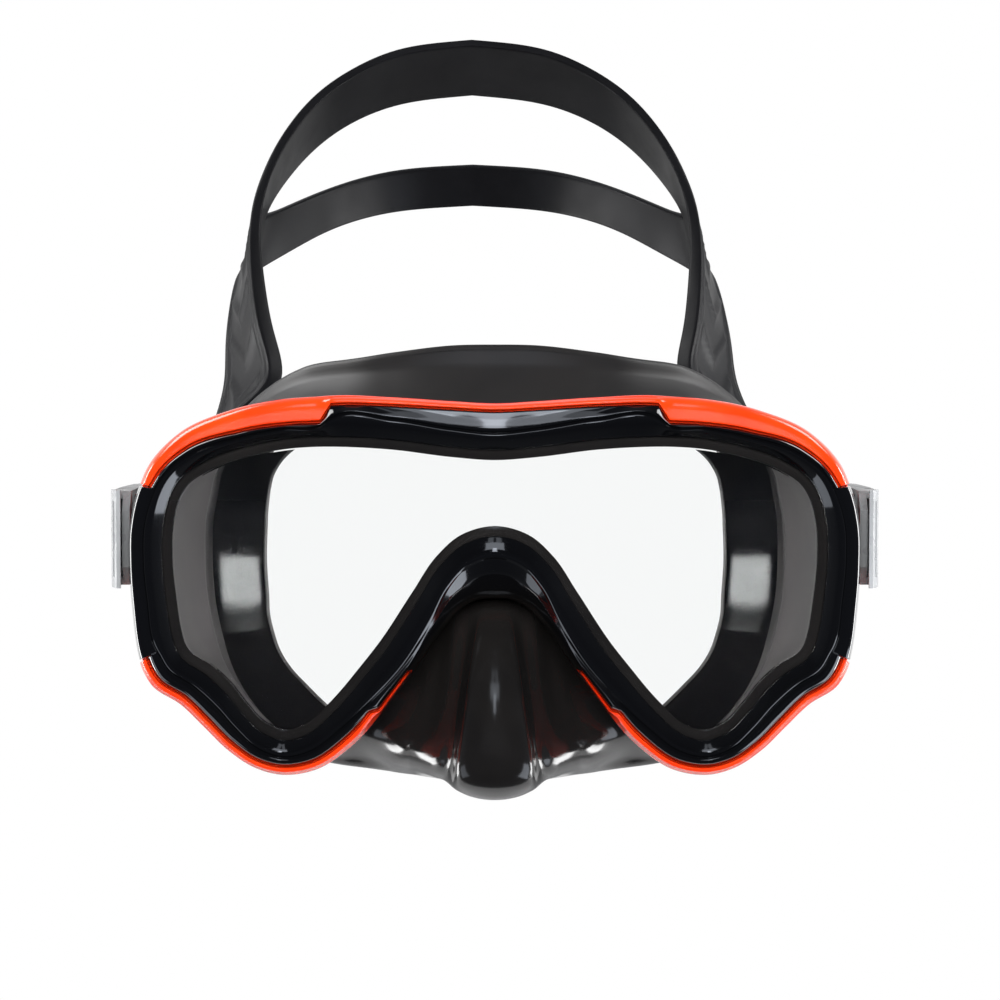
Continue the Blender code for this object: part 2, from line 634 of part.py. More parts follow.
def make_strap_roller(tag, side, finish):
    """Roller that the strap doubles back round, turned with a thin spindle at each end."""
    rings = ((-10.8, 1.0), (-8.9, 1.0), (-8.9, ROLLER_RADIUS), (8.9, ROLLER_RADIUS),
             (8.9, 1.0), (10.8, 1.0))
    mesh = turned_mesh(f"strap_roller_{tag}", across(side, ROLLER_U, ROLLER_W), rings)
    origin = Vector(buckle_point(side, ROLLER_W, ROLLER_U, 0.0)) * MM
    return add_object(f"strap_roller_{tag}", mesh, finish, origin)


def make_release_lever(tag, side, finish):
    """Rocker: pressing its front end inwards lifts the tooth at its rear off the strap.

    The front end widens to a cap that hides the tray's rails.
    """
    profile = (
        (-12.6, 88.3), (-2.0, 88.3), (-0.6, 87.2), (21.4, 87.5), (22.4, 87.3), (24.6, 87.3),
        (25.6, 88.2), (24.0, 88.9), (8.0, 90.0), (-2.0, 90.2), (-8.4, 89.7), (-12.6, 88.9),
    )
    cap = (
        (-14.6, 86.9), (-13.6, 86.9), (-12.9, 88.4), (LEVER_CAP_REAR, 88.4),
        (LEVER_CAP_REAR, 89.6), (-12.0, 88.9), (-14.0, 87.9),
    )
    name = f"release_lever_{tag}"
    origin = Vector(buckle_point(side, LEVER_W, LEVER_U, 0.0)) * MM
    lever = add_object(name, profile_mesh(name, side, profile, -8.8, 8.8), finish, origin)
    part = f"lever_cap_{tag}"
    cutter(part, profile_mesh(part, side, cap, -LEVER_CAP_HALF, LEVER_CAP_HALF), lever, "UNION")
    bore = LEVER_PIN_RADIUS + HOLE_PLAY
    place = across(side, LEVER_U, LEVER_W)
    hole = turned_mesh(f"lever_bore_{tag}", place, ((-12.0, bore), (12.0, bore)), 20)
    cutter(f"lever_bore_{tag}", hole, lever)
    slot = ((-0.6, -2.4), (4.6, -2.4), (4.6, 2.4), (-0.6, 2.4))
    cutter(f"spring_slot_{tag}", plate_mesh(f"spring_slot_{tag}", side, slot, 86.0, 89.9), lever)
    return lever


def make_lever_pin(tag, side, finish):
    """Pin across the tray that the release lever rocks on."""
    rings = ((-10.8, 0.55), (-10.6, LEVER_PIN_RADIUS), (10.6, LEVER_PIN_RADIUS), (10.8, 0.55))
    mesh = turned_mesh(f"lever_pin_{tag}", across(side, LEVER_U, LEVER_W), rings, 20)
    origin = Vector(buckle_point(side, LEVER_W, LEVER_U, 0.0)) * MM
    return add_object(f"lever_pin_{tag}", mesh, finish, origin)


def make_lever_spring(tag, side, finish):
    """Torsion spring on the lever pin: a helix of round wire with a short leg at each end."""
    wire, turns, per_turn, coil = 0.22, 4, 12, LEVER_PIN_RADIUS + 0.3
    curve = bpy.data.curves.new(f"lever_spring_{tag}", "CURVE")
    curve.dimensions = "3D"
    curve.bevel_depth = wire * MM
    curve.bevel_resolution = 1
    curve.use_fill_caps = True
    route = [(LEVER_U + coil, LEVER_W - 0.8, -1.6)]
    for step in range(turns * per_turn + 1):
        angle = 2.0 * math.pi * step / per_turn
        along = -1.6 + 3.2 * step / (turns * per_turn)
        route.append((LEVER_U + coil * math.cos(angle), LEVER_W + coil * math.sin(angle), along))
    route.append((LEVER_U + coil, LEVER_W + 0.8, 1.6))
    origin = Vector(buckle_point(side, LEVER_W, LEVER_U, 0.0)) * MM
    spline = curve.splines.new("POLY")
    spline.points.add(len(route) - 1)
    for point, (u, w, v) in zip(spline.points, route):
        point.co = (*(Vector(buckle_point(side, w, u, v)) * MM - origin), 1.0)
    curve.materials.append(finish)
    made = bpy.data.objects.new(f"lever_spring_{tag}", curve)
    made.location = origin
    bpy.context.collection.objects.link(made)
    return made


def make_strap_keeper(tag, side, finish):
    """Loop that holds the strap's tail against the strap."""
    low, high = KEEPER_U
    outer = ((77.4, -10.6), (88.6, -10.6), (88.6, 10.6), (77.4, 10.6))
    inner = ((78.6, -9.2), (87.4, -9.2), (87.4, 9.2), (78.6, 9.2))
    points = []
    for corners in (outer, inner):
        for u in (low, high):
            points += [buckle_point(side, w, u, v) for w, v in corners]
    faces = []
    for corner in range(4):
        beside = (corner + 1) % 4
        faces.append((corner, beside, 4 + beside, 4 + corner))
        faces.append((8 + corner, 8 + beside, 12 + beside, 12 + corner))
        faces.append((corner, beside, 8 + beside, 8 + corner))
        faces.append((4 + corner, 4 + beside, 12 + beside, 12 + corner))
    name = f"strap_keeper_{tag}"
    return add_object(name, mesh_from(name, points, faces), finish, pivot_origin(side, 83.0))


# --- Strap ---------------------------------------------------------------------------------------


def smooth_open(points, per_gap):
    """An open Catmull-Rom curve through the points; its ends are held by repeated points."""
    padded = np.vstack([2 * points[0] - points[1], points, 2 * points[-1] - points[-2]])
    samples = []
    for index in range(1, len(points)):
        a, b, c, d = padded[index - 1 : index + 3]
        for step in range(per_gap):
            t = step / per_gap
            samples.append(
                0.5
                * (
                    2.0 * b
                    + (c - a) * t
                    + (2.0 * a - 5.0 * b + 4.0 * c - d) * t**2
                    + (3.0 * b - a - 3.0 * c + d) * t**3
                )
            )
    samples.append(points[-1])
    return np.array(samples)


def buckle_strap_rows():
    """Strap rows in the buckle: the tail outside, the turn round the roller, the inner run."""
    turn = ROLLER_RADIUS + GAP + STRAP_THIN / 2.0
    route = [(44.0, ROLLER_W + turn), (34.0, ROLLER_W + turn)]
    for step in range(9):
        angle = math.pi / 2.0 + math.pi * step / 8.0
        route.append((ROLLER_U + turn * math.cos(angle), ROLLER_W + turn * math.sin(angle)))
    route += [(34.0, ROLLER_W - turn), (40.0, ROLLER_W - turn)]
    rows = []
    for u, w in route:
        top = np.array(buckle_point(1, w, u, STRAP_HALF_WIDTH))
        low = np.array(buckle_point(1, w, u, -STRAP_HALF_WIDTH))
        middle = top + PAD_SPLIT * (low - top)
        rows.append((top, middle, middle, low, STRAP_THIN, 0.0))
    return rows


def strap_rows():
    """Rows of four edge points and a thickness, from one tail to the other."""
    first = buckle_strap_rows()
    stations = [np.concatenate([*first[-1][:4], first[-1][4:]])]
    for top, upper, lower, low, thickness, lean in STRAP:
        top, low = np.array(top), np.array(low)
        upper = top + PAD_SPLIT * (low - top) if upper is None else np.array(upper)
        lower = upper if lower is None else np.array(lower)
        stations.append(np.concatenate([top, upper, lower, low, (thickness, lean)]))
    beyond = smooth_open(np.array(stations), 3)
    half = np.vstack([[np.concatenate([*row[:4], row[4:]]) for row in first[:-1]], beyond])
    other = half[-2::-1].copy()
    other[:, 0:12:3] *= -1.0
    table = np.vstack([half, other])
    table[:, 0:12:3] -= table[:, 13:]
    rows = [(*row[:12].reshape(4, 3), row[12]) for row in table]
    split_from = len(first) - 1 + 3 * FIRST_SPLIT
    split = [split_from < index < len(rows) - 1 - split_from for index in range(len(rows))]
    return rows, split


def strap_normals(rows, first, second):
    """Thickness direction of one band: across the run and across the band."""
    middle = np.array([(row[first] + row[second]) / 2.0 for row in rows])
    run = np.gradient(middle, axis=0)
    width = np.array([row[first] - row[second] for row in rows])
    normal = np.cross(run, width)
    return normal / np.linalg.norm(normal, axis=1)[:, None]


def make_strap(finish):
    """One moulded strap that splits behind the head into a broad and a narrow band."""
    rows, split = strap_rows()
    whole = strap_normals(rows, 0, 3)
    upper, lower = strap_normals(rows, 0, 1), strap_normals(rows, 2, 3)
    points, table = [], []
    for index, row in enumerate(rows):
        normals = (upper, upper, lower, lower) if split[index] else (whole,) * 4
        corners = []
        for face in (0.5, -0.5):
            for edge in range(4):
                if edge == 2 and not split[index]:
                    corners.append(corners[-1])
                    continue
                points.append(row[edge] + face * row[4] * normals[edge][index])
                corners.append(len(points) - 1)
        table.append(corners)
    faces = []
    for index in range(len(rows) - 1):
        here, there = table[index], table[index + 1]
        for offset in (0, 4):
            for left, right in ((0, 1), (2, 3)):
                a, b = offset + left, offset + right
                faces.append((here[a], here[b], there[b], there[a]))
        for edge in (0, 3):
            faces.append((here[edge], there[edge], there[edge + 4], here[edge + 4]))
        if split[index] or split[index + 1]:
            for edge in (1, 2):
                faces.append((here[edge], there[edge], there[edge + 4], here[edge + 4]))
    for end in (table[0], table[-1]):
        faces.append((end[0], end[1], end[5], end[4]))
        faces.append((end[2], end[3], end[7], end[6]))
    return add_object("strap", mesh_from("strap", points, faces, 50), finish, pivot_origin(0, 0))


def main():
    clear_scene()
    glass = material("tempered_glass", (0.92, 0.95, 0.94), 0.02, transmission=1.0)
    red = material("red_polycarbonate", (0.85, 0.055, 0.012), 0.18)
    gloss_black = material("gloss_black_polycarbonate", (0.008, 0.008, 0.011), 0.12)
    grey = material("satin_grey_polycarbonate", (0.45, 0.46, 0.47), 0.32)
    smoke = material("smoke_grey_polycarbonate", (0.2, 0.205, 0.21), 0.3)
    nylon_black = material("black_nylon", (0.018, 0.018, 0.02), 0.35)
    silicone = material("black_silicone", (0.010, 0.010, 0.011), 0.3)
    strap_silicone = material("strap_silicone", (0.020, 0.020, 0.023), 0.45)
    steel = material("stainless_steel", (0.62, 0.62, 0.63), 0.25, metallic=1.0)

    line = outline()
    make_lens(line, glass)
    make_skirt(line, silicone)
    frame_shell = make_frame_shell(line, red)
    make_bezel(line, gloss_black)
    for tag, side in (("left", 1), ("right", -1)):
        make_side_lug(tag, side, nylon_black, frame_shell)
        for level in (-1, 1):
            make_lug_screw(tag, side, level, steel)
        make_pivot_pin(tag, side, steel)
        make_buckle_body(tag, side, smoke)
        make_strap_roller(tag, side, steel)
        make_release_lever(tag, side, grey)
        make_lever_pin(tag, side, steel)
        make_lever_spring(tag, side, steel)
        make_strap_keeper(tag, side, strap_silicone)
    make_strap(strap_silicone)


main()
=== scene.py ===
# %% [markdown]
# # A diving mask
# The frame of CAD solids is loaded first. Every visible surface but the small steel parts is then
# worked out again as a finer one on top of it, and each gets a finish of its own.

# %% Load the frame
import math

import bmesh
import bpy
import numpy as np
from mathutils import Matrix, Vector


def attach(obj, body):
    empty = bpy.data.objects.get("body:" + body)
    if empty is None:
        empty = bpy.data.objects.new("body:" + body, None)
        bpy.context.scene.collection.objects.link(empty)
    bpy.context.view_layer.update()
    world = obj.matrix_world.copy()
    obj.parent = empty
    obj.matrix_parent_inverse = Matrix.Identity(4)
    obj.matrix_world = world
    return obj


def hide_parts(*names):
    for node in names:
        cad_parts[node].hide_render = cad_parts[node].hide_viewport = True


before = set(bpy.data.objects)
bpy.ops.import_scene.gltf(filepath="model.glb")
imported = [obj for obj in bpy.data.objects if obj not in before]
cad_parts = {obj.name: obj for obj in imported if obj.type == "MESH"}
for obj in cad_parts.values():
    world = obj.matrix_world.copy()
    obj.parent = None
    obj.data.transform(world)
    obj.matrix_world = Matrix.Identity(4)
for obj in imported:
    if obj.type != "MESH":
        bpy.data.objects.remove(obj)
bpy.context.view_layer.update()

MM = 0.001

# %% [markdown]
# ## The outline of the window
# Lens, skirt, bezel and red shell all follow one line round the window, so that line is made
# once. A few stations are listed and a cubic curve runs through them. A Bezier curve
# object could do the same, but an array of points can be shared by every ring.

# %% Stations of the front outline
# window edge x, z | outer edge x, z | visible red width | bezel groove | sweep over the nose
STATIONS = np.array((
    (0.0, 9.2, 0.0, 22.4, 2.1, 6.2, 0), (9.9, 9.9, 9.9, 22.9, 2.1, 6.5, 0),
    (23.6, 11.6, 23.6, 23.8, 2.2, 7.0, 0), (37.4, 12.3, 37.8, 24.2, 2.4, 6.6, 0),
    (39.8, 12.3, 40.6, 24.0, 6.2, 4.8, 0), (47.8, 11.8, 49.4, 23.3, 6.0, 4.6, 0),
    (57.3, 9.9, 60.8, 20.9, 5.5, 4.6, 0), (65.8, 6.8, 73.2, 15.4, 4.3, 5.4, 0),
    (70.9, 3.1, 80.6, 7.2, 3.4, 6.0, 0), (72.0, 1.4, 82.0, 3.9, 3.0, 6.2, 0),
    (72.3, 0.8, 82.4, 3.0, 3.0, 6.2, 0), (74.1, -6.0, 84.5, -6.2, 2.8, 6.7, 0),
    (74.3, -14.0, 84.7, -14.4, 2.8, 6.7, 0), (73.4, -23.0, 84.1, -24.0, 2.6, 6.7, 0),
    (71.9, -31.6, 82.4, -36.4, 2.6, 6.7, 0), (71.6, -32.6, 82.0, -38.0, 2.6, 6.4, 0),
    (70.2, -35.0, 79.6, -42.6, 2.6, 6.4, 0), (65.3, -38.2, 72.6, -47.4, 2.5, 6.2, 0),
    (61.0, -42.2, 67.2, -52.6, 2.5, 6.2, 0), (57.2, -47.0, 61.6, -58.0, 2.5, 6.2, 0),
    (53.2, -51.2, 55.4, -62.0, 2.4, 6.2, 0), (48.6, -53.0, 49.2, -63.6, 2.4, 6.2, 0),
    (43.6, -51.6, 41.6, -62.5, 2.4, 6.4, 0), (38.4, -47.0, 33.6, -57.4, 2.5, 6.6, 0),
    (33.6, -41.6, 27.4, -50.8, 2.5, 7.2, 0), (32.4, -40.1, 26.0, -48.9, 0.9, 7.4, 0.8),
    (26.2, -32.2, 19.6, -40.2, 0.7, 8.2, 2.6), (19.0, -21.2, 12.6, -30.8, 0.6, 8.2, 5.0),
    (13.4, -12.9, 8.2, -25.6, 0.6, 7.9, 6.6), (7.9, -8.1, 4.2, -23.4, 0.6, 7.7, 7.0),
    (0.0, -6.0, 0.0, -22.9, 0.6, 7.6, 7.0)))
# widest line of the face seal x, y, z | its inner lip x, y, z, at the same stations
SEAL = np.array((
    (0.0, 34.0, 37.0, 0.0, 36.0, 19.0), (10.0, 34.0, 36.8, 9.5, 36.0, 18.8),
    (24.0, 35.0, 35.2, 21.0, 37.0, 18.5), (37.0, 38.0, 33.4, 32.5, 40.0, 18.0),
    (41.0, 39.6, 33.0, 36.0, 41.5, 17.8), (48.5, 43.0, 31.0, 43.0, 45.0, 16.8),
    (58.0, 48.5, 25.0, 50.5, 50.5, 12.6), (65.5, 53.5, 16.0, 54.9, 55.5, 7.6),
    (69.0, 56.5, 8.5, 56.4, 58.5, 3.6), (70.0, 57.2, 5.5, 56.8, 59.2, 1.8),
    (70.4, 57.6, 3.5, 57.0, 59.6, 0.4), (72.0, 58.8, -5.0, 57.6, 60.8, -6.6),
    (72.2, 59.0, -14.0, 57.8, 61.0, -14.6), (71.6, 57.6, -23.0, 57.2, 59.6, -23.0),
    (69.6, 55.4, -32.5, 56.2, 57.4, -31.0), (69.2, 55.0, -34.0, 55.8, 57.0, -32.4),
    (67.6, 53.0, -39.0, 54.4, 55.0, -36.4), (64.4, 50.0, -45.8, 51.0, 52.0, -41.8),
    (60.4, 46.8, -51.4, 46.8, 48.8, -46.0), (55.2, 43.4, -56.4, 42.8, 45.4, -49.6),
    (49.4, 40.0, -60.2, 39.0, 42.0, -52.6), (44.0, 37.2, -62.2, 35.6, 39.4, -54.4),
    (38.0, 34.4, -63.6, 31.8, 37.0, -56.0), (32.4, 31.8, -64.2, 28.4, 34.4, -57.2),
    (27.6, 29.8, -64.6, 25.4, 32.4, -58.2), (26.2, 29.4, -64.7, 24.4, 32.0, -58.4),
    (20.8, 27.6, -65.2, 20.2, 30.2, -59.2), (15.4, 26.3, -65.6, 15.6, 29.0, -59.8),
    (9.6, 25.4, -66.0, 10.2, 28.0, -60.2), (4.8, 25.0, -66.2, 5.2, 27.5, -60.4),
    (0.0, 25.0, -66.2, 0.0, 27.5, -60.4)))
# nose pocket: six guide points per station, from behind the frame to under the nose
FIRST_POCKET = 25
POCKET = np.array((
    ((25.2, 14.8, -45.2), (24.0, 15.2, -49.6), (24.2, 16.4, -53.8),
     (25.2, 18.0, -57.8), (26.0, 20.6, -61.2), (26.2, 25.2, -63.6)),
    ((18.8, 14.6, -37.2), (17.6, 13.6, -43.4), (18.4, 12.2, -50.6),
     (20.6, 10.0, -57.4), (21.2, 13.0, -61.4), (21.0, 20.2, -64.0)),
    ((13.8, 13.8, -29.2), (12.4, 12.6, -34.8), (13.4, 8.2, -47.0),
     (16.4, 3.2, -57.8), (16.6, 6.4, -62.8), (15.8, 16.2, -65.2)),
    ((9.6, 12.4, -23.0), (9.4, 11.8, -28.6), (10.0, 2.6, -44.6),
     (11.6, -3.6, -58.6), (11.4, 1.0, -65.2), (10.2, 13.4, -66.2)),
    ((5.2, 12.4, -19.6), (5.0, 11.6, -25.6), (5.6, -3.4, -43.2),
     (6.8, -9.4, -59.4), (6.4, -3.0, -67.8), (5.2, 11.8, -67.0)),
    ((0.0, 12.4, -18.4), (0.0, 11.6, -24.8), (0.0, -5.6, -43.0),
     (0.0, -11.0, -60.0), (0.0, -4.0, -68.8), (0.0, 11.4, -67.4))))
GROOVE_WALL, LEDGE_REAR = 4.2, 5.8
WALL_LEAN = np.array([0.25, 0.6, 0.25])
print(len(STATIONS), "stations")

# %% Skirt guides and the dense outline
SAMPLE = 1.25  # the window and outer edges together move about this far per sample, in mm
FINE_GAPS = {9: 14, 14: 16, 26: 72}  # gaps in which a bezel tab ends, and their samples


def skirt_guides():
    """Nine guide points per station: the lens groove, six on the wall, the rim and the lip.

    Outside the nose pocket the wall is a quadratic Bezier from the groove to the rim.
    """
    out = STATIONS[:, 2:4] - STATIONS[:, :2]
    out /= np.linalg.norm(out, axis=1)[:, None]
    edge = STATIONS[:, :2] + GROOVE_WALL * out
    start = np.column_stack([edge[:, 0], np.full(len(edge), LEDGE_REAR), edge[:, 1]])
    rim, lip = SEAL[:, :3], SEAL[:, 3:]
    control = start + (rim - start) * WALL_LEAN
    t = (np.arange(1, 7) / 7.0)[None, :, None]
    wall = ((1 - t) ** 2 * start[:, None] + 2 * t * (1 - t) * control[:, None]
            + t**2 * rim[:, None])
    wall[FIRST_POCKET:] = POCKET
    return np.concatenate([start[:, None], wall, rim[:, None], lip[:, None]], axis=1)


def hermite(rows, lengths, gap, t):
    """A closed cubic curve through rows: slopes are chord slopes, weighted by the other gap."""
    step = (np.roll(rows, -1, axis=0) - rows) / lengths[:, None]
    before, short = np.roll(step, 1, axis=0), np.roll(lengths, 1)[:, None]
    slope = (step * short + before * lengths[:, None]) / (short + lengths[:, None])
    after = (gap + 1) % len(rows)
    t, size = t[:, None], lengths[gap][:, None]
    return ((2 * t**3 - 3 * t**2 + 1) * rows[gap] + (t**3 - 2 * t**2 + t) * size * slope[gap]
            + (3 * t**2 - 2 * t**3) * rows[after] + (t**3 - t**2) * size * slope[after])


def dense_outline():
    """The half table mirrored to a closed one and sampled finely, with the place q of each
    sample counted in stations from the brow centre."""
    guides = skirt_guides()
    half = np.hstack([STATIONS, guides.reshape(len(STATIONS), -1)])
    other = half[-2:0:-1].copy()
    other[:, [0, 2, *range(STATIONS.shape[1], half.shape[1], 3)]] *= -1.0
    rows = np.vstack([half, other])
    move = np.roll(rows, -1, axis=0) - rows
    lengths = np.linalg.norm(move[:, :4], axis=1)
    last = len(STATIONS) - 1
    counts = np.maximum(3, np.ceil(lengths / SAMPLE)).astype(int)
    for gap, count in FINE_GAPS.items():
        counts[[gap, 2 * last - 1 - gap]] = count
    gap = np.repeat(np.arange(len(rows)), counts)
    t = (np.arange(len(gap)) - np.repeat(np.cumsum(counts) - counts, counts)) / counts[gap]
    samples = hermite(rows, lengths, gap, t)
    place = gap + t
    return samples, np.where(place > last, 2 * last - place, place)


samples, q = dense_outline()
window, outer = samples[:, :2], samples[:, 2:4]
span = np.linalg.norm(outer - window, axis=1)
out = (outer - window) / span[:, None]
red, groove, sweep = samples[:, 4], samples[:, 5], samples[:, 6]
red = np.interp(q, np.arange(len(STATIONS)), STATIONS[:, 4])
guide_grid = samples[:, 7:].reshape(len(samples), 9, 3).transpose(1, 0, 2)
print(len(samples), "samples round the window")

# %% [markdown]
# ## Rings with rounded edges
# Bezel, shell and skirt are rings: a small profile carried round the outline. A modifier could
# bevel them, but a profile whose corners are rounded before it is carried round keeps every
# highlight even, and each corner gets its own radius.

# %% Ring helpers


def smooth(t):
    """Rises from 0 to 1 with level ends: 3t² − 2t³."""
    t = np.clip(t, 0.0, 1.0)
    return t * t * (3.0 - 2.0 * t)


def at(radial, depth, back=True):
    """Points at a distance outside the window edge; back adds the sweep over the nose."""
    radial = np.broadcast_to(radial, span.shape).astype(float)
    share = np.clip((radial - groove) / (span - groove), 0.0, 1.0)
    place = window + out * radial[:, None]
    y = np.broadcast_to(depth, span.shape) + (sweep * share if back else 0.0)
    return np.column_stack([place[:, 0], y, place[:, 1]])


def rounded(loops, radii, steps=5):
    """Each corner of a closed profile becomes a quadratic Bezier between the points at its
    radius along both edges, or at 0.45 of an edge that is too short for that."""
    loops = np.array(loops)
    rows = []
    for here, radius in enumerate(radii):
        arms = []
        for beside in (loops[here - 1], loops[(here + 1) % len(loops)]):
            arm = beside - loops[here]
            size = np.maximum(np.linalg.norm(arm, axis=1), 1e-6)[:, None]
            arms.append(loops[here] + arm / size * np.minimum(radius, 0.45 * size))
        for t in np.linspace(0.0, 1.0, steps):
            rows.append((1 - t) ** 2 * arms[0] + 2 * t * (1 - t) * loops[here] + t**2 * arms[1])
    return np.array(rows)


def finish_mesh(name, points_mm, quads, uv=None):
    """A smooth-shaded object from arrays, its faces turned outwards."""
    mesh = bpy.data.meshes.new(name)
    mesh.from_pydata(np.asarray(points_mm) * MM, [], np.asarray(quads).tolist())
    if uv is not None:
        layer = mesh.uv_layers.new(name="UVMap")
        layer.data.foreach_set("uv", np.asarray(uv, float).ravel())
    shape = bmesh.new()
    shape.from_mesh(mesh)
    bmesh.ops.remove_doubles(shape, verts=shape.verts, dist=2e-6)
    bmesh.ops.dissolve_degenerate(shape, dist=1e-7, edges=shape.edges)
    bmesh.ops.recalc_face_normals(shape, faces=shape.faces)
    for face in shape.faces:
        face.smooth = True
    open_edges = sum(not edge.is_manifold for edge in shape.edges)
    shape.to_mesh(mesh)
    shape.free()
    made = bpy.data.objects.new(name, mesh)
    bpy.context.collection.objects.link(made)
    print(f"{name}: {len(mesh.polygons)} faces, {open_edges} open edges")
    return made


def grid_quads(rows, columns, first=0, close_rows=True, close_columns=True):
    """Corner numbers of the faces of a grid whose vertices are numbered row by row."""
    r = np.arange(rows if close_rows else rows - 1)[:, None]
    c = np.arange(columns if close_columns else columns - 1)[None, :]
    r2, c2 = (r + 1) % rows, (c + 1) % columns
    corners = [r * columns + c, r * columns + c2, r2 * columns + c2, r2 * columns + c]
    return first + np.stack(corners, axis=-1).reshape(-1, 4)


def grid_uv(lengths_r, lengths_c):
    """UVs in metres for grid_quads: distance along the columns, then along the rows."""
    r = np.concatenate([[0.0], np.cumsum(lengths_r)]) * MM
    c = np.concatenate([[0.0], np.cumsum(lengths_c)]) * MM
    v, u = np.meshgrid(r, c, indexing="ij")
    corner = np.stack([u, v], axis=-1)
    quads = [corner[:-1, :-1], corner[:-1, 1:], corner[1:, 1:], corner[1:, :-1]]
    return np.stack(quads, axis=2).reshape(-1, 2)


def ring_object(name, loops, body, node):
    """A closed ring in place of a CAD solid."""
    loops = np.asarray(loops)
    around = np.linalg.norm(np.roll(window, -1, axis=0) - window, axis=1)
    middle = loops[:, len(span) // 4]
    across = np.linalg.norm(np.roll(middle, -1, axis=0) - middle, axis=1)
    quads = grid_quads(loops.shape[0], loops.shape[1])
    made = finish_mesh(name, loops.reshape(-1, 3), quads, grid_uv(across, around))
    claim(made, body, node)
    return made


def claim(made, body, node):
    """Hangs a finished piece on its body, in place of its CAD solid."""
    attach(made, body)
    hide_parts(node)


print("ring helpers ready")

# %% [markdown]
# ## Bezel
# The bezel is the glossy black ring that clamps lens and skirt. Two tabs lap over the red shell
# at the sides and one over the nose. How far it laps is a number from 0 to 1 along the outline.

# %% Where the bezel laps over the shell
BEZEL_INNER, BEZEL_REAR, BEZEL_CREST, WRAP_REAR = 2.3, -1.6, -4.7, 6.4
SIDE_TAB_FROM, SIDE_TAB_TO, SIDE_TAB_EASE = 9.32, 14.62, 0.42  # in stations
NOSE_TAB_FROM, NOSE_TAB_EASE = 26.03, 0.045


def covered(early):
    """1 where a tab covers the shell, 0 where the red shows. early widens each tab at both
    its ends, so that the shell ducks down just before the tab begins."""
    side = (smooth((q - SIDE_TAB_FROM + 0.1 * early) / SIDE_TAB_EASE)
            * smooth((SIDE_TAB_TO + 0.06 * early - q) / (SIDE_TAB_EASE * 0.6)))
    nose = smooth((q - NOSE_TAB_FROM + 0.009 * early) / NOSE_TAB_EASE)
    return np.maximum(side, nose)


lap = covered(0.0)
under = covered(3.0)
print("covered share of the outline:", round(float(lap.mean()), 3))

# %% Bezel ring
edge = span - red * (1.0 - lap)
flank = groove - BEZEL_INNER
bead = edge - groove
wrap_rear = BEZEL_REAR + lap * (WRAP_REAR - BEZEL_REAR + 1.7 * sweep / 7.0)
swept_edge = sweep * np.clip((edge - groove) / (span - groove), 0.0, 1.0)
BROW_END, BROW_EASE, BROW_FACET_OUT, BROW_FACET_DEPTH = 4.3, 0.9, 0.7, -3.35
brow = smooth((BROW_END - q) / BROW_EASE)


def brow_facet(else_radial, else_depth, share, depth):
    """A bead point that moves to a flat, sloping facet over the brow."""
    return at(else_radial + brow * (groove + share * bead - else_radial),
              else_depth + brow * (depth - else_depth))


bezel_loops = [
    at(BEZEL_INNER, BEZEL_REAR),
    at(BEZEL_INNER, BEZEL_REAR - 0.75),
    at(BEZEL_INNER + 0.55 * flank, BEZEL_CREST + 0.5),
    at(BEZEL_INNER + 0.84 * flank, BEZEL_CREST),
    at(groove, BEZEL_CREST + 0.85),
    brow_facet(groove + 0.35 * bead, BEZEL_CREST + 0.1, 0.12, BEZEL_CREST),
    brow_facet(groove + 0.75 * bead, BEZEL_CREST + 0.6, BROW_FACET_OUT,
               BROW_FACET_DEPTH),
    at(edge - 0.1 - 0.6 * lap, -2.9 + 0.5 * lap),
    at(edge, -2.3 + 3.3 * lap),
    at(edge, wrap_rear + swept_edge * (1.0 - lap), back=False),
    at(edge - 0.5 - 0.7 * lap, wrap_rear + swept_edge * (1.0 - lap), back=False),
    at(edge - 1.0 - 0.5 * lap, BEZEL_REAR),
    at(np.minimum(groove, edge - 1.8), BEZEL_REAR),
]
bezel_radii = (0.2, 0.45, 1.3, 0.55, 0.22, 0.7, 1.2, 0.6, 1.6, 0.35, 0.2, 0.2, 0.2)
bezel = ring_object("bezel_ring", rounded(bezel_loops, bezel_radii), "mask", "bezel")

# %% [markdown]
# ## Red shell
# The shell sits behind the bezel and swells into a bead where it shows. The bead's inner side
# drops straight down beside the bezel, which draws the dark line between red and black.

# %% Red shell ring
FRAME_INNER, FRAME_FRONT, FRAME_REAR, RED_CREST = 4.6, -1.2, 10.5, -3.3
shown = 1.0 - under
LAND_FROM, LAND_TO, LAND_EASE = 9.5, 13.9, 0.8  # stations where the brackets sit
land = smooth((q - LAND_FROM) / LAND_EASE) * smooth((LAND_TO - q) / LAND_EASE)
shell_edge = span - 1.9 * under
rear_land = np.maximum(span - 2.4 - 2.6 * land, FRAME_INNER + 0.7)
wrap_stop = WRAP_REAR + 0.4 + 1.7 * sweep / 7.0
crest = np.maximum(red - 0.55, 0.6 * red)


def open_or_under(open_value, under_value):
    """The first value where the shell shows, the second under a tab, blended between."""
    return shown * open_value + under * under_value


shell_loops = [
    at(FRAME_INNER, FRAME_FRONT),
    at(FRAME_INNER, LEDGE_REAR + 0.2, back=False),
    at(rear_land, FRAME_REAR, back=False),
    at(span - 0.7, FRAME_REAR, back=False),
    at(span, FRAME_REAR - 0.7, back=False),
    at(span, wrap_stop + 0.3, back=False),
    at(shell_edge, wrap_stop, back=False),
    at(shell_edge, 0.6),
    at(shell_edge - open_or_under(np.minimum(0.7, 0.3 * red), 0.1), -0.8 - 0.9 * shown),
    at(span - open_or_under(0.4 * red, 2.2), FRAME_FRONT - 1.7 * shown),
    at(span - open_or_under(crest, 2.7), FRAME_FRONT + (RED_CREST - FRAME_FRONT) * shown),
    at(span - open_or_under(red - 0.3, 3.2), FRAME_FRONT),
    at(np.clip(groove, FRAME_INNER + 0.2, span - 3.6), FRAME_FRONT),
]
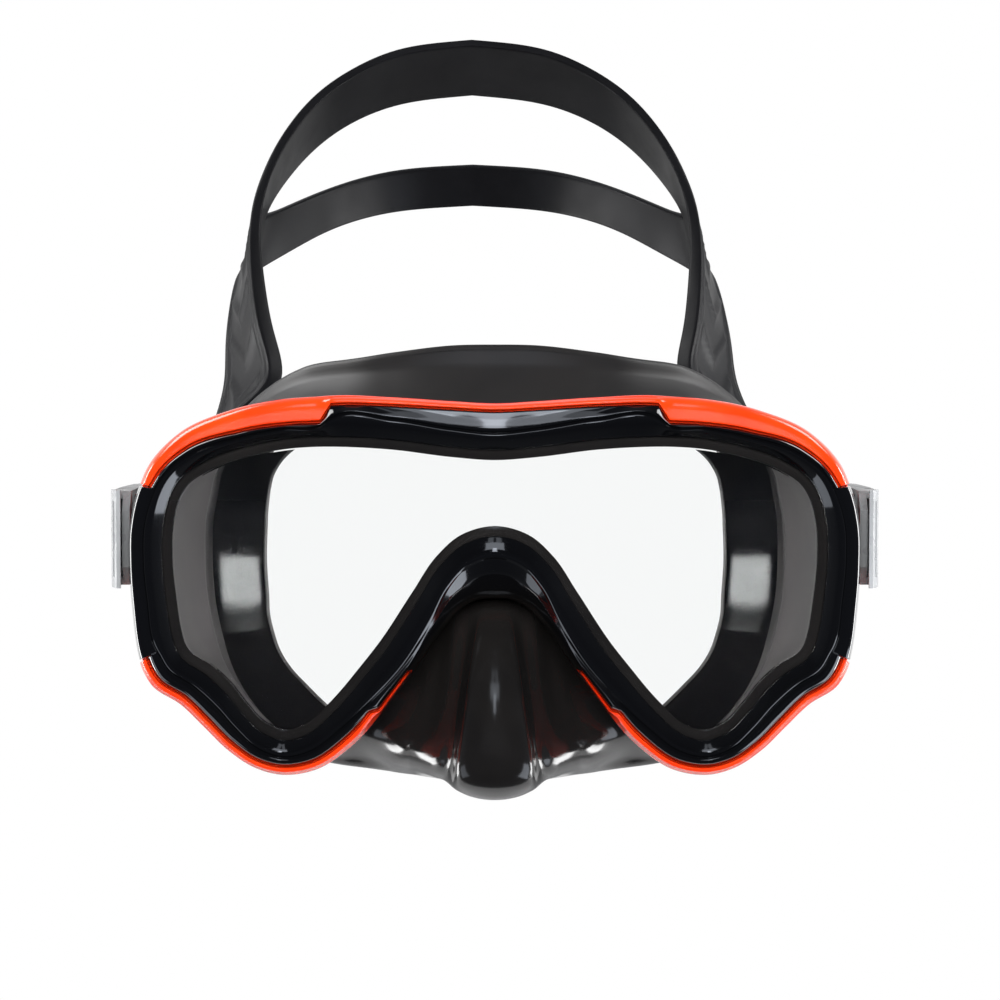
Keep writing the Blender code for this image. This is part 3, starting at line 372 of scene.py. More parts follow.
shell_radii = (0.2, 0.3, 0.6, 0.5, 0.5, 0.25, 0.2, 0.9, 1.0, 1.2, 0.35, 0.1, 0.2)
shell = ring_object("red_shell_ring", rounded(shell_loops, shell_radii), "mask", "frame_shell")

# %% [markdown]
# ## Lens
# The window is one flat plate of tempered glass. Its rim lies in the skirt's groove, so only the
# two flat faces matter to the eye. They could be a fan of triangles to one point, but each is one
# polygon through every point of the outline, shaded flat, so the glass has no ripples at all.

# %% Lens plate
LENS_THICKNESS, LENS_EDGE, LIP_CLEARANCE = 4.0, 2.9, 0.3


def lens_plate():
    """Two flat faces joined by a bevel, a rim and a small rear chamfer."""
    front = at(-LIP_CLEARANCE, 0.0, back=False)
    return [front, at(LENS_EDGE, 0.6, back=False), at(LENS_EDGE, LENS_THICKNESS - 0.3, back=False),
            at(LENS_EDGE - 0.3, LENS_THICKNESS, back=False)]


lens_loops = np.array(lens_plate())
count = len(span)
mesh_faces = grid_quads(len(lens_loops), count, close_rows=False).tolist()
lens_mesh = bpy.data.meshes.new("lens_plate")
caps = [list(range(count)), list(range((len(lens_loops) - 1) * count, len(lens_loops) * count))]
lens_mesh.from_pydata(lens_loops.reshape(-1, 3) * MM, [], mesh_faces + caps)
shape = bmesh.new()
shape.from_mesh(lens_mesh)
bmesh.ops.recalc_face_normals(shape, faces=shape.faces)
shape.to_mesh(lens_mesh)
shape.free()
lens = bpy.data.objects.new("lens_plate", lens_mesh)
bpy.context.collection.objects.link(lens)
claim(lens, "mask", "lens")
print("lens:", len(lens_mesh.polygons), "faces")

# %% [markdown]
# ## Skirt
# The skirt is one soft moulding: a groove for the glass, a side wall, the pocket for the nose and
# a wide seal that curls inwards on the face. A subdivision surface would do, but a spline across
# the guide rows keeps the groove crisp and the wall smooth.

# %% Skirt surface
SKIRT_WALL, SEAL_WALL, WALL_ROWS = 1.8, 0.8, 6


def spline_rows(rows, per_gap):
    """Catmull-Rom rows through guide rows, the ends held by mirrored guides."""
    padded = np.concatenate([[2 * rows[0] - rows[1]], rows, [2 * rows[-1] - rows[-2]]])
    made = []
    for here in range(1, len(rows)):
        a, b, c, d = padded[here - 1:here + 3]
        for t in np.arange(per_gap) / per_gap:
            made.append(0.5 * (2 * b + (c - a) * t + (2 * a - 5 * b + 4 * c - d) * t**2
                               + (3 * b - a - 3 * c + d) * t**3))
    made.append(rows[-1])
    return np.array(made)


def outward(grid):
    """Unit normals of a grid that closes on itself sideways, away from the mask's inside."""
    normal = np.cross(np.roll(grid, -1, axis=1) - np.roll(grid, 1, axis=1),
                      np.gradient(grid, axis=0))
    normal /= np.maximum(np.linalg.norm(normal, axis=2), 1e-9)[:, :, None]
    return normal if normal[len(grid) // 3, 0, 2] > 0.0 else -normal


RIDGE_TOP, RIDGE_HALF_WIDTH, RIDGE_SPREAD = -31.0, 4.6, 4.2 / 31.0
RIDGE_HEIGHT, DIP_DEPTH, DIP_OUT, DIP_WIDTH = 1.1, 0.9, 2.6, 1.7


def nose_relief(points):
    """Height added to the nose pocket: a raised ridge down the middle that widens downwards,
    with a shallow dip on each side of it."""
    x, y, z = np.abs(points[..., 0]), points[..., 1], points[..., 2]
    beside = x - (RIDGE_HALF_WIDTH + (RIDGE_TOP - z) * RIDGE_SPREAD)
    dip = DIP_DEPTH * np.exp(-((beside - DIP_OUT) / DIP_WIDTH) ** 2)
    ridge = RIDGE_HEIGHT * smooth(0.5 - beside / 2.4) - dip
    reach = smooth((-24.0 - z) / 6.0) * smooth((z + 68.0) / 5.0) * smooth((17.0 - y) / 6.0)
    return ridge * reach * (x < 21.0)


POCKET_FROM, POCKET_TO, EVEN_PASSES = 21.0, 28.0, 160  # stations beside the nose pocket
SEAL_THINS_FROM, SEAL_THINS_OVER = 0.86, 0.14  # shares of the way from groove to lip
blend = smooth((q - POCKET_FROM) / 2.0) * smooth((POCKET_TO - q) / 1.5)
even = guide_grid.copy()
for _ in range(EVEN_PASSES):  # evens out the wall where the nose pocket begins
    middle = 0.5 * (np.roll(even, 1, axis=1) + np.roll(even, -1, axis=1))
    even[1:8] += (0.5 * blend)[None, :, None] * (middle - even)[1:8]
wall = spline_rows(even, WALL_ROWS)
normals = outward(wall)
wall = wall + normals * nose_relief(wall)[..., None]
share = np.linspace(0.0, 1.0, len(wall))
thickness = SKIRT_WALL + (SEAL_WALL - SKIRT_WALL) * smooth(
    (share - SEAL_THINS_FROM) / SEAL_THINS_OVER)
inside = wall - outward(wall) * thickness[:, None, None]
lip_round = 0.5 * (wall[-1] + inside[-1]) + 0.35 * (wall[-1] - wall[-2])
LIP_FRONT, GROOVE_INNER = -1.3, 3.3
skirt_loops = [
    at(0.0, -0.3, back=False), at(0.0, LIP_FRONT + 0.25, back=False),
    at(0.25, LIP_FRONT, back=False), at(GROOVE_WALL - 0.2, LIP_FRONT, back=False),
    at(GROOVE_WALL, LIP_FRONT + 0.2, back=False), at(GROOVE_WALL, LEDGE_REAR - 0.3, back=False),
    *wall[1:], lip_round, *inside[:1:-1],
    at(1.0, LEDGE_REAR, back=False), at(1.0, LENS_THICKNESS + 0.35, back=False),
    at(GROOVE_INNER, LENS_THICKNESS + 0.3, back=False), at(GROOVE_INNER, -0.3, back=False),
]
skirt = ring_object("skirt_moulding", skirt_loops, "mask", "skirt")

# %% Inner wall of the skirt: a satin finish, and a base colour painted lighter as painted light on the wall seen at a glancing angle
AXIS_Z, BEHIND_GLASS, POCKET_SIDE, FACING = -0.018, 0.0045, 0.02, 0.35  # the first three in metres
centre, direction = np.empty((2, 3 * len(skirt.data.polygons)))
skirt.data.polygons.foreach_get("center", centre)
skirt.data.polygons.foreach_get("normal", direction)
centre, direction = centre.reshape(-1, 3), direction.reshape(-1, 3)
to_axis = np.column_stack([-centre[:, 0], np.zeros(len(centre)), AXIS_Z - centre[:, 2]])
inward = np.sum(to_axis * direction, axis=1) > FACING * np.linalg.norm(to_axis, axis=1)
inner_wall = inward & (centre[:, 1] > BEHIND_GLASS) & (np.abs(centre[:, 0]) > POCKET_SIDE)
print("inner wall faces:", int(inner_wall.sum()))

# %% [markdown]
# ## Strap
# The strap is one moulding: thin tails in the buckles, thick pads beside the head, and two bands
# that part behind it. It could be a curve with a bevel object, but its width and its twist change
# all along, so it is a surface between listed edge lines.

# %% Strap edge lines
PIVOT_Y, PIVOT_Z, BUCKLE_TILT = 18.0, -8.4, math.radians(3.0)
ROLLER_U, ROLLER_W, ROLLER_RADIUS = 24.0, 83.0, 1.7
STRAP_HALF_WIDTH, STRAP_THIN, PAD_SPLIT, FIRST_SPLIT = 8.8, 2.0, 0.62, 7
# front-top edge | lower edge of the upper band | top edge of the lower band | lower edge |
# thickness | how far the soft strap leans to the wearer's right there, all in mm
STRAP = (
    ((71.5, 60.0, 14.5), None, None, (76.0, 74.5, 1.5), 2.4, 1.2),
    ((59.5, 64.0, 22.5), None, None, (69.5, 84.0, 16.0), 3.4, 2.6),
    ((50.8, 68.0, 31.0), None, None, (64.8, 90.6, 29.0), 4.2, 3.8),
    ((54.0, 76.5, 43.8), None, None, (64.4, 98.0, 40.2), 4.2, 4.4),
    ((56.2, 86.0, 57.0), None, None, (63.6, 105.0, 49.6), 3.8, 4.9),
    ((57.4, 96.0, 70.6), (58.4, 104.0, 65.4), None, (62.4, 110.0, 56.8), 3.0, 5.3),
    ((56.0, 103.8, 82.0), (57.0, 113.0, 74.9), None, (58.8, 116.4, 61.4), 2.6, 5.6),
    ((51.0, 111.4, 94.7), (51.6, 128.0, 86.6), (53.2, 122.0, 77.4), (52.0, 125.0, 65.8), 2.4, 5.9),
    ((42.4, 119.1, 107.1), (43.0, 138.0, 97.4), (43.4, 137.0, 83.4), (41.4, 141.4, 73.4), 2.4, 6.2),
    ((31.4, 126.2, 116.0), (32.0, 144.2, 105.4), (31.4, 150.2, 89.0), (30.6, 154.6, 78.6), 2.4, 6.4),
    ((18.0, 129.2, 122.0), (18.2, 147.6, 110.6), (18.0, 158.6, 92.6), (18.0, 163.4, 81.8), 2.4, 6.5),
    ((0.0, 129.7, 124.0), (0.0, 148.3, 112.6), (0.0, 161.0, 93.9), (0.0, 166.0, 83.2), 2.4, 6.5),
)
ALONG = 8  # rows per gap of the table
TWIST_PASSES = 12


def buckle_point(side, w, u, v):
    """Row-frame millimetres of a buckle point: u along the strap, v across, w outwards."""
    cosine, sine = math.cos(BUCKLE_TILT), math.sin(BUCKLE_TILT)
    return (side * w, PIVOT_Y + u * cosine - v * sine, PIVOT_Z + u * sine + v * cosine)


def buckle_route():
    """The strap's middle line in the buckle: the tail, half a turn round the roller, back out."""
    turn = ROLLER_RADIUS + 0.3 + STRAP_THIN / 2.0
    angles = math.pi / 2.0 + math.pi * np.arange(17) / 16.0
    bend = [(ROLLER_U + turn * math.cos(a), ROLLER_W + turn * math.sin(a)) for a in angles]
    tail = [(u, ROLLER_W + turn) for u in (44.0, 43.0, 41.0, 38.0, 35.0, 32.0, 29.0, 26.0)]
    return tail + bend + [(u, ROLLER_W - turn) for u in (27.0, 30.0, 34.0, 40.0)]


def strap_rows():
    """Rows of four edge points and a thickness, from one tail to the other."""
    first = []
    for u, w in buckle_route():
        top = np.array(buckle_point(1, w, u, STRAP_HALF_WIDTH))
        low = np.array(buckle_point(1, w, u, -STRAP_HALF_WIDTH))
        middle = top + PAD_SPLIT * (low - top)
        first.append([*top, *middle, *middle, *low, STRAP_THIN, 0.0])
    table = [first[-1]]
    for top, upper, lower, low, thick, lean in STRAP:
        top, low = np.array(top), np.array(low)
        upper = top + PAD_SPLIT * (low - top) if upper is None else np.array(upper)
        lower = upper if lower is None else np.array(lower)
        table.append([*top, *upper, *lower, *low, thick, lean])
    dense = spline_rows(np.array(table), ALONG)
    for _ in range(TWIST_PASSES):  # evens out the twist of the edges, ends held
        dense[1:-1] += 0.5 * (0.5 * (dense[:-2] + dense[2:]) - dense[1:-1])
    half = np.vstack([first[:-1], dense])
    flip = np.tile([-1.0, 1.0, 1.0], 4)
    other = half[-2::-1].copy()
    other[:, :12] *= flip
    rows = np.vstack([half, other])
    rows[:, 0:12:3] -= rows[:, 13:]
    fork = len(first) - 1 + ALONG * FIRST_SPLIT
    here = np.arange(len(rows))
    return rows, np.minimum(here - fork, len(rows) - 1 - fork - here) / ALONG


strap_table, past_fork = strap_rows()
split = past_fork > 0.0
joined = ~split
middle_line = 0.5 * (strap_table[:, 3:6] + strap_table[:, 6:9])
strap_table[joined, 3:6] = middle_line[joined]
strap_table[joined, 6:9] = middle_line[joined]
print(len(strap_table), "strap rows,", int(split.sum()), "of them split")

# %% Strap surface
EDGE_RADIUS, FLAT_POWER = 0.9, 4.0


def band(first, second, inner_edge, relief):
    """Outer and inner face of one band as two grids.

    The thickness follows a superellipse within the edge radius of each free edge. The inner
    edge rounds off gradually behind the fork.
    """
    a, b, thick = strap_table[:, first], strap_table[:, second], strap_table[:, 12]
    run = np.gradient(0.5 * (a + b), axis=0)
    normal = np.cross(run, a - b)
    normal /= np.linalg.norm(normal, axis=1)[:, None]
    whole = np.cross(np.gradient(0.5 * (strap_table[:, 0:3] + strap_table[:, 9:12]), axis=0),
                     strap_table[:, 0:3] - strap_table[:, 9:12])
    whole /= np.linalg.norm(whole, axis=1)[:, None]
    mix = smooth(past_fork / 1.2)[:, None]
    normal = (1 - mix) * whole + mix * normal
    normal /= np.linalg.norm(normal, axis=1)[:, None]
    width = np.linalg.norm(a - b, axis=1)
    angle = np.linspace(0.0, math.pi / 2.0, 7)
    edge_in = 1.0 - np.cos(angle) ** (2.0 / FLAT_POWER)
    edge_high = np.sin(angle) ** (2.0 / FLAT_POWER)
    edge_in[-1], edge_high[0], edge_high[-1] = 1.0, 0.0, 1.0
    flat = np.linspace(0.0, 1.0, 26)[1:-1]
    radius = EDGE_RADIUS / width[:, None]
    near = edge_in[None, :] * radius
    far = 1.0 - edge_in[None, ::-1] * radius
    between = radius + (1.0 - 2.0 * radius) * flat[None, :]
    across = np.hstack([near, between, far])
    high = np.concatenate([edge_high, np.ones(len(flat)), edge_high[::-1]])[None, :]
    high = np.repeat(high, len(a), axis=0)
    open_edge = smooth(past_fork / 0.5)[:, None]
    inner_side = slice(-7, None) if inner_edge == "second" else slice(0, 7)
    high[:, inner_side] = 1.0 - open_edge * (1.0 - high[:, inner_side])
    place = a[:, None] + (b - a)[:, None] * across[..., None]
    half_thick = 0.5 * thick[:, None] * high
    sculpt = relief(across) * (high > 0.99)
    outer_face = place + normal[:, None] * (half_thick + sculpt)[..., None]
    inner_face = place - normal[:, None] * half_thick[..., None]
    return outer_face, inner_face


NEAR_BUCKLE = 25  # the first strap row after the half turn in the buckle
BORDER_OUT, BORDER_WIDTH, BORDER_HEIGHT = 0.8, 0.09, 0.6
CHEVRONS, CHEVRON_SLANT, CHEVRON_WIDTH, CHEVRON_HEIGHT = 5.2, 0.9, 0.13, 0.7
PAD_SINK = 0.25  # how far the pad's field lies below the strap's face, in mm
PADS_FROM, PADS_TO = NEAR_BUCKLE + 1.2 * ALONG, NEAR_BUCKLE + 6.6 * ALONG


def pad_relief(share_of_width, whole_from, whole_to):
    """Raised border and nested V ridges of a pad, as a height by place along and across."""
    rows = np.arange(len(strap_table))
    rows = np.minimum(rows, len(rows) - 1 - rows)
    along = ((rows - PADS_FROM) / (PADS_TO - PADS_FROM))[:, None]
    across = whole_from + (whole_to - whole_from) * share_of_width
    off_middle = np.abs(across - 0.5) * 2.0
    inside = smooth(along / 0.06) * smooth((1.0 - along) / 0.06)
    border = np.exp(-((off_middle - BORDER_OUT) / BORDER_WIDTH) ** 2)
    chevron = along * CHEVRONS - off_middle * CHEVRON_SLANT
    ridge = (np.exp(-(((chevron % 1.0) - 0.5) / CHEVRON_WIDTH) ** 2)
             * smooth((0.7 - off_middle) / 0.12))
    return inside * (BORDER_HEIGHT * border
                     + CHEVRON_HEIGHT * ridge * smooth((along - 0.25) / 0.05) - PAD_SINK)


strap_faces = [
    band(slice(0, 3), slice(3, 6), "second", lambda a: pad_relief(a, 0.0, PAD_SPLIT)),
    band(slice(6, 9), slice(9, 12), "first", lambda a: pad_relief(a, PAD_SPLIT, 1.0)),
]
STRAP_WIDTH = 20.0  # for the UVs only
run_length = np.linalg.norm(np.diff(middle_line, axis=0), axis=1)
points, quads, uvs = [], [], []
for number, (outer_face, inner_face) in enumerate(strap_faces):
    rows, columns = outer_face.shape[:2]
    for face in (outer_face, inner_face):
        quads.append(grid_quads(rows, columns, len(points) * rows * columns, False, False))
        uvs.append(grid_uv(run_length, np.full(columns - 1, STRAP_WIDTH / columns)))
        points.append(face.reshape(-1, 3))
    base = 2 * number * rows * columns
    inner_base = base + rows * columns
    side = columns - 1 if number == 0 else 0
    r = np.arange(rows - 1)
    walls = np.stack([base + r * columns + side, base + (r + 1) * columns + side,
                      inner_base + (r + 1) * columns + side, inner_base + r * columns + side], -1)
    walls = walls[np.maximum(past_fork[:-1], past_fork[1:]) > 0.0]
    c = np.arange(columns - 1)
    for row in (0, rows - 1):
        walls = np.vstack([walls, np.stack([base + row * columns + c, base + row * columns + c + 1,
                                            inner_base + row * columns + c + 1,
                                            inner_base + row * columns + c], -1)])
    quads.append(walls)
    uvs.append(np.zeros((4 * len(walls), 2)))
strap = finish_mesh("strap_moulding", np.vstack(points), np.vstack(quads), np.vstack(uvs))
claim(strap, "strap_assembly", "strap")

# %% [markdown]
# ## Buckles, levers and brackets
# These hard mouldings already have the right shape as solids, but their edges are knife sharp.
# Each is copied, its triangles merged back to flat faces, and its edges rounded with a bevel.

# %% Softened copies of the hard mouldings


def softened(node, radius_mm, body, segments=3):
    """A copy of a CAD solid at its place, merged to flat faces, with bevelled edges."""
    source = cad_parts[node]
    shape = bmesh.new()
    shape.from_mesh(source.data)
    bmesh.ops.transform(shape, matrix=source.matrix_world, verts=shape.verts)
    bmesh.ops.remove_doubles(shape, verts=shape.verts, dist=2e-6)
    bmesh.ops.dissolve_limit(shape, angle_limit=math.radians(2.0), verts=shape.verts,
                             edges=shape.edges)
    mesh = bpy.data.meshes.new(f"{node}_soft")
    shape.to_mesh(mesh)
    shape.free()
    mesh.shade_smooth()
    made = bpy.data.objects.new(f"{node}_soft", mesh)
    bpy.context.collection.objects.link(made)
    round_off = made.modifiers.new("round edges", "BEVEL")
    round_off.width = radius_mm * MM
    round_off.segments = segments
    round_off.limit_method = "ANGLE"
    round_off.angle_limit = math.radians(28.0)
    round_off.harden_normals = True
    claim(made, body, node)
    return made


soft_nylon, soft_levers, soft_trays, soft_loops = [], [], [], []
for tag in ("left", "right"):
    soft_nylon.append(softened(f"side_lug_{tag}", 0.35, "mask"))
    soft_trays.append(softened(f"buckle_body_{tag}", 0.3, "strap_assembly"))
    soft_levers.append(softened(f"release_lever_{tag}", 0.45, f"lever_{tag}",
                                4))
    soft_loops.append(softened(f"strap_keeper_{tag}", 0.4, f"keeper_{tag}"))
print(len(soft_nylon + soft_levers + soft_trays + soft_loops), "softened mouldings")

# %% [markdown]
# ## Finishes
# Each finish is a Principled shader with noise on its roughness, colour and bump at the size the
# real surface has it. All patterns read Object coordinates, which are metres here, so a scale of
# 1000 is a pattern of about a millimetre.

# %% Finish helpers


class Finish:
    """A material with short calls to add the nodes that vary it."""

    def __init__(self, name, colour, roughness, **sockets):
        self.made = bpy.data.materials.new(name)
        self.made.use_nodes = True
        self.nodes, self.links = self.made.node_tree.nodes, self.made.node_tree.links
        self.shader = self.nodes["Principled BSDF"]
        self.shader.inputs["Base Color"].default_value = (*colour, 1.0)
        self.shader.inputs["Roughness"].default_value = roughness
        for socket, value in sockets.items():
            self.shader.inputs[socket.replace("_", " ")].default_value = value
        self.place = self.nodes.new("ShaderNodeTexCoord").outputs["Object"]
        self.surface = None

    def stretched(self, x, y, z):
        """Object coordinates with a scale per axis, for brushed and drawn grain."""
        mapping = self.nodes.new("ShaderNodeMapping")
        mapping.inputs["Scale"].default_value = (x, y, z)
        self.links.new(self.place, mapping.inputs["Vector"])
        return mapping.outputs["Vector"]

    def noise(self, scale, detail=3.0, rough=0.55, place=None):
        """A noise pattern from 0 to 1."""
        made = self.nodes.new("ShaderNodeTexNoise")
        made.inputs["Scale"].default_value = scale
        made.inputs["Detail"].default_value = detail
        made.inputs["Roughness"].default_value = rough
        self.links.new(place or self.place, made.inputs["Vector"])
        return made.outputs["Fac"]

    def cells(self, scale):
        """A pattern of small round cells, for spark-eroded mould grain."""
        made = self.nodes.new("ShaderNodeTexVoronoi")
        made.inputs["Scale"].default_value = scale
        self.links.new(self.place, made.inputs["Vector"])
        return made.outputs["Distance"]

    def span(self, value, low, high, to_low, to_high):
        """Maps a value from one range to another."""
        made = self.nodes.new("ShaderNodeMapRange")
        for socket, number in zip(("From Min", "From Max", "To Min", "To Max"),
                                  (low, high, to_low, to_high)):
            made.inputs[socket].default_value = number
        self.links.new(value, made.inputs["Value"])
        return made.outputs["Result"]

    def roughness(self, value):
        """Roughness from a value."""
        self.links.new(value, self.shader.inputs["Roughness"])

    def colour(self, value, stops):
        """Colour from a value through a ramp."""
        ramp = self.nodes.new("ShaderNodeValToRGB")
        first, last = ramp.color_ramp.elements
        first.position, first.color = stops[0][0], (*stops[0][1], 1.0)
        last.position, last.color = stops[-1][0], (*stops[-1][1], 1.0)
        for position, tone in stops[1:-1]:
            ramp.color_ramp.elements.new(position).color = (*tone, 1.0)
        self.links.new(value, ramp.inputs["Fac"])
        self.links.new(ramp.outputs["Color"], self.shader.inputs["Base Color"])

    def bump(self, value, strength, depth_mm):
        """Adds a height pattern; several calls add up."""
        made = self.nodes.new("ShaderNodeBump")
        made.inputs["Strength"].default_value = strength
        made.inputs["Distance"].default_value = depth_mm * MM
        self.links.new(value, made.inputs["Height"])
        if self.surface is not None:
            self.links.new(self.surface, made.inputs["Normal"])
        self.surface = made.outputs["Normal"]
        self.links.new(self.surface, self.shader.inputs["Normal"])


def paint(finish, *objects):
    """Gives objects one finish in place of whatever they had."""
    for made in objects:
        made.data.materials.clear()
        made.data.materials.append(finish.made)


print("finish helpers ready")

# %% Glossy plastics
gloss_black = Finish("piano black polycarbonate", (0.0022, 0.0023, 0.0028), 0.07,
                     IOR=1.5, Coat_Weight=0.5, Coat_Roughness=0.03)
gloss_black.roughness(gloss_black.span(gloss_black.noise(60.0), 0.3, 0.7, 0.055, 0.12))
gloss_black.bump(gloss_black.noise(420.0, 2.0), 0.04, 0.06)


def satin(name, tone):
    """A satin plastic whose grey drifts a little."""
    made = Finish(name, (tone, tone * 1.02, tone * 1.04), 0.3, IOR=1.5)
    made.colour(made.noise(120.0, 3.0), (
        (0.3, (0.9 * tone, 0.92 * tone, 0.94 * tone)), (0.7, (1.1 * tone, 1.12 * tone, 1.14 * tone))))
    made.roughness(made.span(made.noise(150.0), 0.3, 0.7, 0.24, 0.36))
    made.bump(made.noise(1400.0, 2.0), 0.08, 0.04)
    return made


grey_satin = satin("satin grey polycarbonate", 0.27)
smoke_satin = satin("smoke grey polycarbonate", 0.14)
red_gloss = Finish("orange-red polycarbonate", (0.97, 0.045, 0.005), 0.16, IOR=1.48,
                   Coat_Weight=0.35, Coat_Roughness=0.05)
red_gloss.colour(red_gloss.noise(90.0, 2.0),
                 ((0.3, (0.95, 0.038, 0.004)), (0.7, (1.0, 0.052, 0.006))))
red_gloss.roughness(red_gloss.span(red_gloss.noise(70.0), 0.3, 0.7, 0.13, 0.2))
red_gloss.bump(red_gloss.noise(500.0, 2.0), 0.05, 0.06)
print("glossy plastics ready")

# %% Moulded nylon, silicone and steel
nylon = Finish("moulded black nylon", (0.022, 0.022, 0.024), 0.36, IOR=1.5)
nylon.roughness(nylon.span(nylon.noise(160.0), 0.3, 0.7, 0.3, 0.44))
nylon.bump(nylon.cells(2600.0), 0.25, 0.05)
skirt_silicone = Finish("polished black silicone", (0.008, 0.0075, 0.0075), 0.16, IOR=1.43)
skirt_silicone.colour(skirt_silicone.noise(45.0, 4.0),
                      ((0.25, (0.006, 0.0056, 0.0056)), (0.75, (0.011, 0.010, 0.0095))))
height = skirt_silicone.nodes.new("ShaderNodeSeparateXYZ")
skirt_silicone.links.new(skirt_silicone.place, height.inputs["Vector"])
skirt_silicone.roughness(skirt_silicone.span(height.outputs["Z"], -0.012, 0.012, 0.15, 0.4))
skirt_silicone.bump(skirt_silicone.noise(700.0, 3.0), 0.05, 0.05)
# The inner wall is the same silicone as the skirt, but its base colour is several times lighter. That
# lighter colour is painted light for a wall seen at a glancing angle; only its rough satin finish is
# real.
painted_light_inner_silicone = Finish("satin inner silicone, painted lighter", (0.05, 0.045, 0.044), 0.5, IOR=1.43)
painted_light_inner_silicone.colour(painted_light_inner_silicone.noise(60.0, 3.0),
                      ((0.3, (0.042, 0.038, 0.037)), (0.7, (0.06, 0.054, 0.053))))
painted_light_inner_silicone.bump(painted_light_inner_silicone.noise(900.0, 2.0), 0.05, 0.05)
strap_rubber = Finish("satin charcoal silicone", (0.005, 0.005, 0.0056), 0.46, IOR=1.4)
strap_rubber.shader.inputs["Specular IOR Level"].default_value = 0.1
strap_rubber.colour(strap_rubber.noise(60.0, 4.0),
                    ((0.25, (0.004, 0.004, 0.0045)), (0.75, (0.0065, 0.0065, 0.0075))))
strap_rubber.roughness(strap_rubber.span(strap_rubber.noise(80.0, 4.0), 0.3, 0.7, 0.34, 0.46))
strap_rubber.bump(strap_rubber.noise(1500.0, 3.0), 0.18, 0.05)
steel = Finish("brushed stainless steel", (0.62, 0.62, 0.63), 0.25, Metallic=1.0)
brushed = steel.noise(1.0, 2.0, place=steel.stretched(600.0, 9000.0, 9000.0))
steel.roughness(steel.span(brushed, 0.3, 0.7, 0.18, 0.36))
steel.bump(brushed, 0.1, 0.01)
print("matt finishes ready")

# %% [markdown]
# Tempered glass is clear with a faint green cast from its iron. Full transmission lets the
# renderer bend light as the real plate does; the smudges are only in the roughness.

# %% Glass
glass = Finish("tempered glass", (0.985, 0.998, 0.995), 0.0, IOR=1.45, Transmission_Weight=1.0)
glass.roughness(glass.span(glass.noise(35.0, 4.0), 0.55, 0.8, 0.0, 0.02))
print("glass ready")

# %% Finishes on every piece
paint(gloss_black, bezel)
paint(grey_satin, *soft_levers)
paint(smoke_satin, *soft_trays)
paint(red_gloss, shell)
paint(glass, lens)
paint(skirt_silicone, skirt)
# The inward faces take the lighter silicone, whose extra brightness is painted light.
skirt.data.materials.append(painted_light_inner_silicone.made)
skirt.data.polygons.foreach_set("material_index", inner_wall.astype(np.int32))
paint(strap_rubber, strap, *soft_loops)
paint(nylon, *soft_nylon)
steel_names = ("lug_screw", "pivot_pin", "strap_roller", "lever_pin", "lever_spring")
for name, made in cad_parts.items():
    if name.startswith(steel_names):
        paint(steel, made)
print("painted")

# %% [markdown]
# ## Studio
# The mask hangs in a white studio: a pale floor far below and behind, a sky that is bright behind
# and dark in front, so that the black plastic mirrors darkness with a few soft windows of light.
# The camera itself sees plain white. A large fill in front is kept out of mirror reflections, so
# that it brightens the red shell and puts no patch on the black ring.

# %% World
scene = bpy.context.scene
scene.view_settings.view_transform = "Standard"
world = bpy.data.worlds.new("studio")
scene.world = world
world.use_nodes = True
tree = world.node_tree


def world_ramp(value, low, high, stops):
    """A grey ramp over one component of the direction."""
    turn = tree.nodes.new("ShaderNodeMapRange")
    turn.inputs["From Min"].default_value = low
    turn.inputs["From Max"].default_value = high
    tree.links.new(value, turn.inputs["Value"])
    made = tree.nodes.new("ShaderNodeValToRGB")
    tree.links.new(turn.outputs["Result"], made.inputs["Fac"])
    first, last = made.color_ramp.elements
    first.position, first.color = stops[0][0], (*stops[0][1], 1.0)
    last.position, last.color = stops[-1][0], (*stops[-1][1], 1.0)
    for position, tone in stops[1:-1]:
        made.color_ramp.elements.new(position).color = (*tone, 1.0)
    return made.outputs["Color"]


def world_mix(kind, factor, first, second):
    """Mixes or multiplies two colours of the sky."""
    made = tree.nodes.new("ShaderNodeMix")
    made.data_type, made.blend_type = "RGBA", kind
    for socket, value in (("Factor", factor), ("A", first), ("B", second)):
        if isinstance(value, (float, tuple)):
            made.inputs[socket].default_value = value
        else:
            tree.links.new(value, made.inputs[socket])
    return made.outputs["Result"]


direction = tree.nodes.new("ShaderNodeTexCoord").outputs["Generated"]
parts = tree.nodes.new("ShaderNodeSeparateXYZ")
tree.links.new(direction, parts.inputs["Vector"])
back_to_front = world_ramp(parts.outputs["Y"], -1.0, 1.0, (
    (0.2, (0.03, 0.034, 0.045)), (0.5, (0.16, 0.17, 0.19)), (0.68, (0.55, 0.56, 0.57)),
    (0.85, (1.0, 1.0, 1.0))))
up_and_down = world_ramp(parts.outputs["Z"], -1.0, 1.0, (
    (0.0, (0.5, 0.5, 0.5)), (0.4, (1.0, 1.0, 1.0)), (0.6, (1.0, 1.0, 1.0)),
    (0.85, (0.2, 0.21, 0.23))))
sky = world_mix("MULTIPLY", 1.0, back_to_front, up_and_down)
camera_ray = tree.nodes.new("ShaderNodeLightPath").outputs["Is Camera Ray"]
seen = world_mix("MIX", camera_ray, sky, (1.0, 1.0, 1.0, 1.0))
tree.links.new(seen, tree.nodes["Background"].inputs["Color"])
print("world ready")

# %% Softboxes


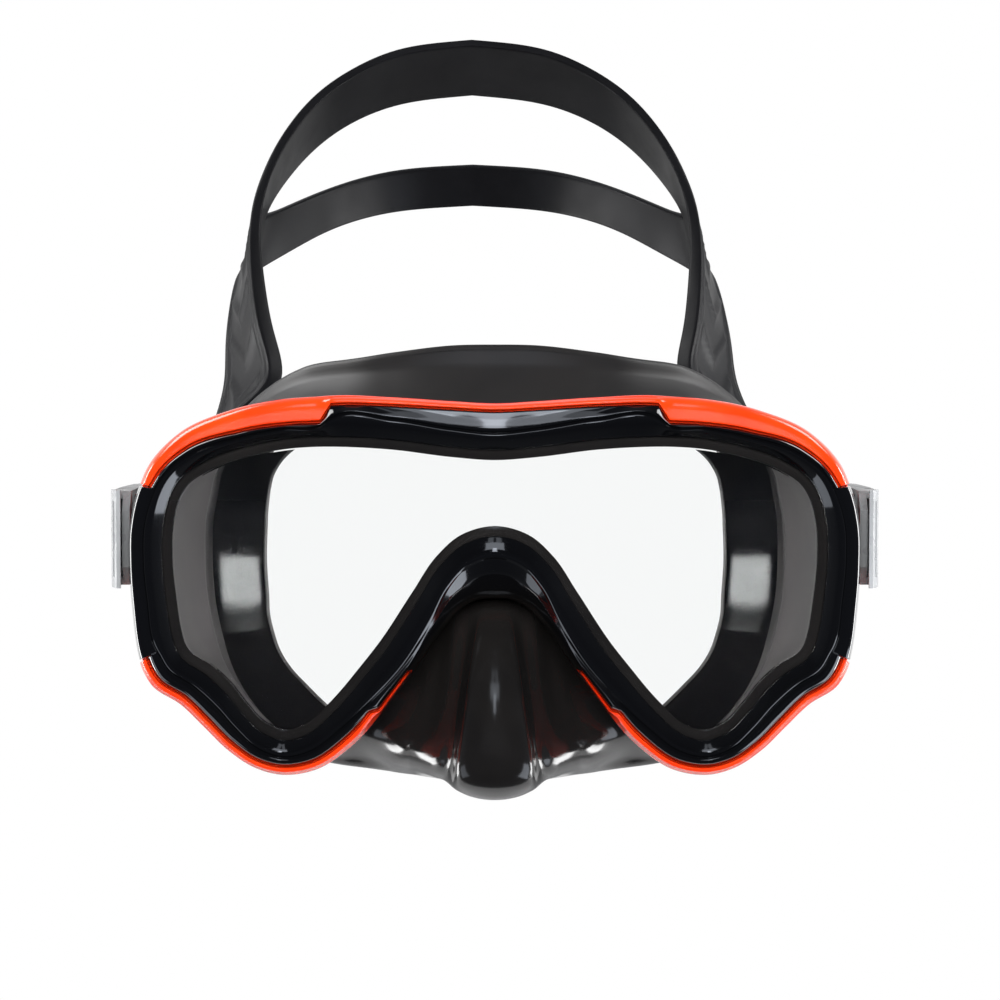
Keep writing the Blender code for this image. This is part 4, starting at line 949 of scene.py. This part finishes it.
def soft_light(name, place, aim, size, power, colour=(1.0, 1.0, 1.0)):
    """A rectangular softbox that points at a spot; sizes in metres."""
    data = bpy.data.lights.new(name, "AREA")
    data.shape = "RECTANGLE"
    data.size, data.size_y = size
    data.energy = power
    data.color = colour
    made = bpy.data.objects.new(name, data)
    made.location = place
    made.rotation_euler = (Vector(aim) - Vector(place)).to_track_quat("-Z", "Y").to_euler()
    made.visible_camera = False
    bpy.context.collection.objects.link(made)
    return made


middle = (0.0, 0.03, 0.0)
cool = (0.84, 0.9, 1.0)
soft_light("top left softbox", (-0.55, 0.25, 0.75), middle, (0.5, 0.5), 5.5)
soft_light("top right softbox", (0.6, 0.2, 0.75), middle, (0.4, 0.4), 3.5)
soft_light("front top softbox", (0.0, -0.5, 0.76), middle, (0.32, 0.24), 0.6, cool)
for side in (-1, 1):
    soft_light(f"side strip {side}", (0.9 * side, 0.3, 0.0), middle, (0.3, 1.0), 14.0)
    soft_light(f"front window {side}", (0.06 * side, -0.3, 0.85), middle, (0.09, 0.2), 0.06, cool)
soft_light("front top strip", (0.0, -0.62, 0.64), middle, (0.07, 0.24), 0.35, cool)
soft_light("low right softbox", (0.62, -0.2, -0.42), middle, (0.4, 0.5), 2.6, cool)
soft_light("low left softbox", (-0.62, -0.2, -0.42), middle, (0.3, 0.4), 0.7, cool)
fill = soft_light("front fill", (0.0, -1.1, 0.35), middle, (0.9, 0.5), 24.0)
fill.visible_glossy = False
print("softboxes ready")

# %% Floor and camera
floor_mesh = bpy.data.meshes.new("studio_floor")
side, near, far, level = 1.2, 0.1, 1.9, -0.5
floor_mesh.from_pydata([(-side, near, level), (side, near, level), (side, far, level),
                        (-side, far, level)], [], [(0, 1, 2, 3)])
floor = bpy.data.objects.new("studio_floor", floor_mesh)
bpy.context.collection.objects.link(floor)
pale = Finish("pale floor", (0.7, 0.7, 0.7), 0.8)
pale.roughness(pale.span(pale.noise(8.0), 0.3, 0.7, 0.7, 0.9))
paint(pale, floor)

lens_mm, sensor_mm = 116.9, 36.0
camera_data = bpy.data.cameras.new("studio camera")
camera_data.lens = lens_mm
camera_data.sensor_width = sensor_mm
camera = bpy.data.objects.new("studio camera", camera_data)
camera.location = (0.0012, -0.75, 0.0)
camera.rotation_euler = (math.pi / 2.0, 0.0, 0.0)
bpy.context.collection.objects.link(camera)
scene.camera = camera
print("studio ready")
